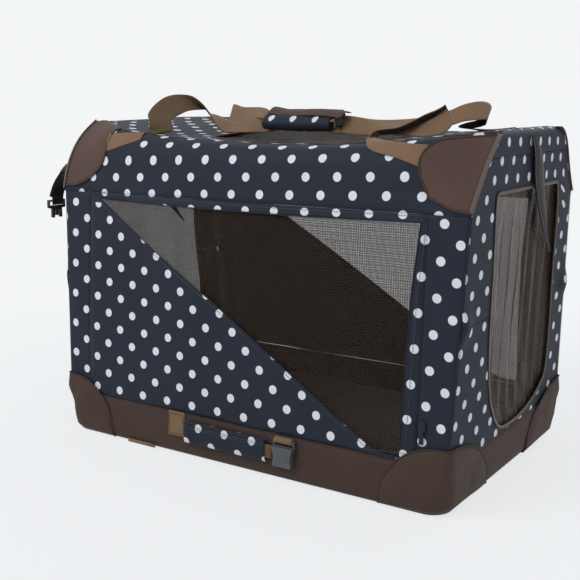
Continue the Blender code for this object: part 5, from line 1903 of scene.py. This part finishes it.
class CARRIER_OT_fittings(BuildStep):
    """The zip sliders, the plastic clips and the finish of the steel frame"""

    bl_idname = "carrier.fittings"
    bl_label = "Fittings"

    def execute(self, context):
        f = make_finishes()
        for name in WALLS:
            node = f"{name}_zip_slider"
            made = refined(node, f"{name}_slider", [f["navy"]], 0.0003)
            settle(made, f"{name}_slider", [node])
        for name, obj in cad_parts.items():
            if obj.hide_render:
                continue
            if "clip" in name:
                finish = f["black_plastic"]
            elif name == "floor_board":
                finish = f["board"]
            elif name == "floor_mat":
                finish = f["fleece"]
            elif "pin" in name:
                finish = f["zinc"]
            else:
                finish = f["steel"]
            for slot in obj.material_slots:
                slot.material = finish
        return {"FINISHED"}


class CARRIER_OT_floor_mat(BuildStep):
    """The padded fleece mat on the floor board"""

    bl_idname = "carrier.floor_mat"
    bl_label = "Floor mat"

    def execute(self, context):
        f = make_finishes()
        low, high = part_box("floor_mat")
        half = Vector(((high.x - low.x) / 2 - 0.005, (high.y - low.y) / 2 - 0.005, 0))
        thick = high.z - low.z
        bm = bmesh.new()
        bmesh.ops.create_cube(bm, size=1.0)
        shape = Matrix.Diagonal((half.x * 2, half.y * 2, thick * 0.62, 1))
        bmesh.ops.transform(bm, matrix=shape, verts=bm.verts[:])
        upright = [e for e in bm.edges if abs(e.verts[0].co.z - e.verts[1].co.z) > 0.001]
        bmesh.ops.bevel(
            bm, geom=upright, offset=0.03, affect="EDGES", segments=6, profile=0.5, material=-1
        )
        place = Vector((0, 0, low.z + thick * 0.40))
        bmesh.ops.translate(bm, vec=place, verts=bm.verts[:])
        mat = piece("floor_mat_pad", bm, [f["fleece"]])
        remesh = mat.modifiers.new("Remesh", "REMESH")
        remesh.mode = "VOXEL"
        remesh.voxel_size = 0.006
        self.apply(mat)
        rest = [v.co.copy() for v in mat.data.vertices]
        sim = mat.modifiers.new("Cloth", "CLOTH")
        sim.settings.use_pressure = True
        sim.settings.uniform_pressure_force = 4
        sim.settings.effector_weights.gravity = 0
        scene = context.scene
        sim.point_cache.frame_start, sim.point_cache.frame_end = 1, 20
        for number in range(1, 21):
            scene.frame_set(number)
        self.apply(mat)
        scene.frame_set(1)
        # the swell is capped, flat on the board, and pulled in at the quilting lines
        for vert, start in zip(mat.data.vertices, rest):
            move = vert.co - start
            if move.length > 0.006:
                move *= 0.006 / move.length
            p = start + move
            lines = [abs(p.x - x) for x in (-0.16, 0.0, 0.16)]
            if start.z > low.z + thick * 0.4:
                p.z -= 0.0035 * math.exp(-((min(lines) / 0.006) ** 2))
            p.z = min(max(p.z, low.z + 0.0006), high.z - 0.0004)
            p.x = min(max(p.x, low.x), high.x)
            p.y = min(max(p.y, low.y), high.y)
            vert.co = p
        for face in mat.data.polygons:
            face.use_smooth = True
        settle(mat, "base", ["floor_mat"])
        return {"FINISHED"}

    def apply(self, obj):
        """Turns the piece's modifiers into its mesh."""
        graph = bpy.context.evaluated_depsgraph_get()
        graph.update()
        made = bpy.data.meshes.new_from_object(obj.evaluated_get(graph))
        for modifier in list(obj.modifiers):
            obj.modifiers.remove(modifier)
        obj.data = made


class CARRIER_OT_stage(BuildStep):
    """A plain pale floor, soft lamps and the camera"""

    bl_idname = "carrier.stage"
    bl_label = "Stage"

    def execute(self, context):
        scene = context.scene
        hue = (*colours().backdrop, 1.0)
        bm = bmesh.new()
        bmesh.ops.create_grid(bm, x_segments=4, y_segments=4, size=12.0)
        bmesh.ops.translate(bm, vec=(0, 0, -0.0008), verts=bm.verts[:])
        material = bpy.data.materials.new("matt_paper_floor")
        material.use_nodes = True
        tree = material.node_tree
        tree.nodes.clear()
        paper = add(tree, "ShaderNodeBsdfDiffuse", {"Color": hue})
        glow = add(tree, "ShaderNodeEmission", {"Color": hue, "Strength": 1.0})
        rays = shown_rays(tree)
        spot = add(tree, "ShaderNodeTexCoord").outputs["Object"]
        away = add(tree, "ShaderNodeVectorMath", {0: spot}, operation="LENGTH").outputs["Value"]
        limits = {"Value": away, "From Min": 0.55, "From Max": 1.1, "To Min": 0.80, "To Max": 1.0}
        reach = add(tree, "ShaderNodeMapRange", limits).outputs[0]
        share = math_node(tree, "MULTIPLY", rays, reach)
        both = {0: share, 1: paper.outputs[0], 2: glow.outputs[0]}
        shown = add(tree, "ShaderNodeMixShader", both)
        add(tree, "ShaderNodeOutputMaterial", {"Surface": shown.outputs[0]})
        floor = piece("studio_floor", bm, [material], shade=False)

        world = bpy.data.worlds.new("pale_studio")
        scene.world = world
        world.use_nodes = True
        tree = world.node_tree
        tree.nodes.clear()
        rays = shown_rays(tree)
        backdrop = add(tree, "ShaderNodeBackground", {"Color": hue, "Strength": 1.0})
        light = add(tree, "ShaderNodeBackground", {"Color": hue, "Strength": 0.52})
        both = {0: rays, 1: light.outputs[0], 2: backdrop.outputs[0]}
        shown = add(tree, "ShaderNodeMixShader", both)
        add(tree, "ShaderNodeOutputWorld", {"Surface": shown.outputs[0]})

        lamps = {
            "key_softbox": ((-0.9, -1.7, 1.9), 1.4, 26.0),
            "fill_softbox": ((2.0, -0.9, 1.0), 1.4, 3.5),
            "back_softbox": ((0.3, 1.9, 1.6), 1.2, 12.0),
        }
        aim = Vector((0, 0, 0.2))
        for name, (place, size, power) in lamps.items():
            data = bpy.data.lights.new(name, "AREA")
            data.shape = "SQUARE"
            data.size = size
            data.energy = power
            lamp = bpy.data.objects.new(name, data)
            lamp.location = place
            lamp.rotation_euler = (aim - lamp.location).to_track_quat("-Z", "Y").to_euler()
            scene.collection.objects.link(lamp)

        turn, pitch, roll = (math.radians(a) for a in CAMERA_ANGLES)
        ahead = Vector(
            (-math.sin(turn) * math.cos(pitch), math.cos(turn) * math.cos(pitch), -math.sin(pitch))
        )
        right = Vector((math.cos(turn), math.sin(turn), 0))
        over = right.cross(ahead)
        side = right * math.cos(roll) + over * math.sin(roll)
        up = -right * math.sin(roll) + over * math.cos(roll)
        data = bpy.data.cameras.new("photo_camera")
        data.sensor_width = SENSOR
        data.lens = FOCAL_PIXELS / PICTURE_PIXELS * SENSOR
        camera = bpy.data.objects.new("photo_camera", data)
        turned = Matrix((side, up, -ahead)).transposed().to_4x4()
        camera.matrix_world = Matrix.Translation(CAMERA_PLACE) @ turned
        scene.collection.objects.link(camera)
        scene.camera = camera
        scene.view_settings.view_transform = "Standard"
        return {"FINISHED"}


STEPS = [
    CARRIER_OT_base_band,
    CARRIER_OT_long_walls,
    CARRIER_OT_shoulders,
    CARRIER_OT_top,
    CARRIER_OT_ends,
    CARRIER_OT_corner_patches,
    CARRIER_OT_carry_handles,
    CARRIER_OT_low_handle,
    CARRIER_OT_side_strap,
    CARRIER_OT_floor_mat,
    CARRIER_OT_fittings,
    CARRIER_OT_stage,
]


class CARRIER_PT_panel(bpy.types.Panel):
    """The carrier's sizes, colours and build steps"""

    bl_idname = "CARRIER_PT_panel"
    bl_label = "Carrier"
    bl_space_type = "VIEW_3D"
    bl_region_type = "UI"
    bl_category = "Carrier"

    def draw(self, context):
        for group in (context.scene.carrier_sizes, context.scene.carrier_colours):
            box = self.layout.box()
            for key in group.__annotations__:
                box.prop(group, key)
        for step in STEPS:
            self.layout.operator(step.bl_idname)


CLASSES = [CarrierSizes, CarrierColours, *STEPS, CARRIER_PT_panel]


def register():
    for item in CLASSES:
        bpy.utils.register_class(item)
    bpy.types.Scene.carrier_sizes = bpy.props.PointerProperty(type=CarrierSizes)
    bpy.types.Scene.carrier_colours = bpy.props.PointerProperty(type=CarrierColours)


def unregister():
    del bpy.types.Scene.carrier_colours
    del bpy.types.Scene.carrier_sizes
    for item in reversed(CLASSES):
        bpy.utils.unregister_class(item)


def main():
    register()
    bpy.ops.carrier.base_band()
    bpy.ops.carrier.long_walls()
    bpy.ops.carrier.shoulders()
    bpy.ops.carrier.top()
    bpy.ops.carrier.ends()
    bpy.ops.carrier.corner_patches()
    bpy.ops.carrier.carry_handles()
    bpy.ops.carrier.low_handle()
    bpy.ops.carrier.side_strap()
    bpy.ops.carrier.floor_mat()
    bpy.ops.carrier.fittings()
    bpy.ops.carrier.stage()


if __name__ == "__main__":
    main()
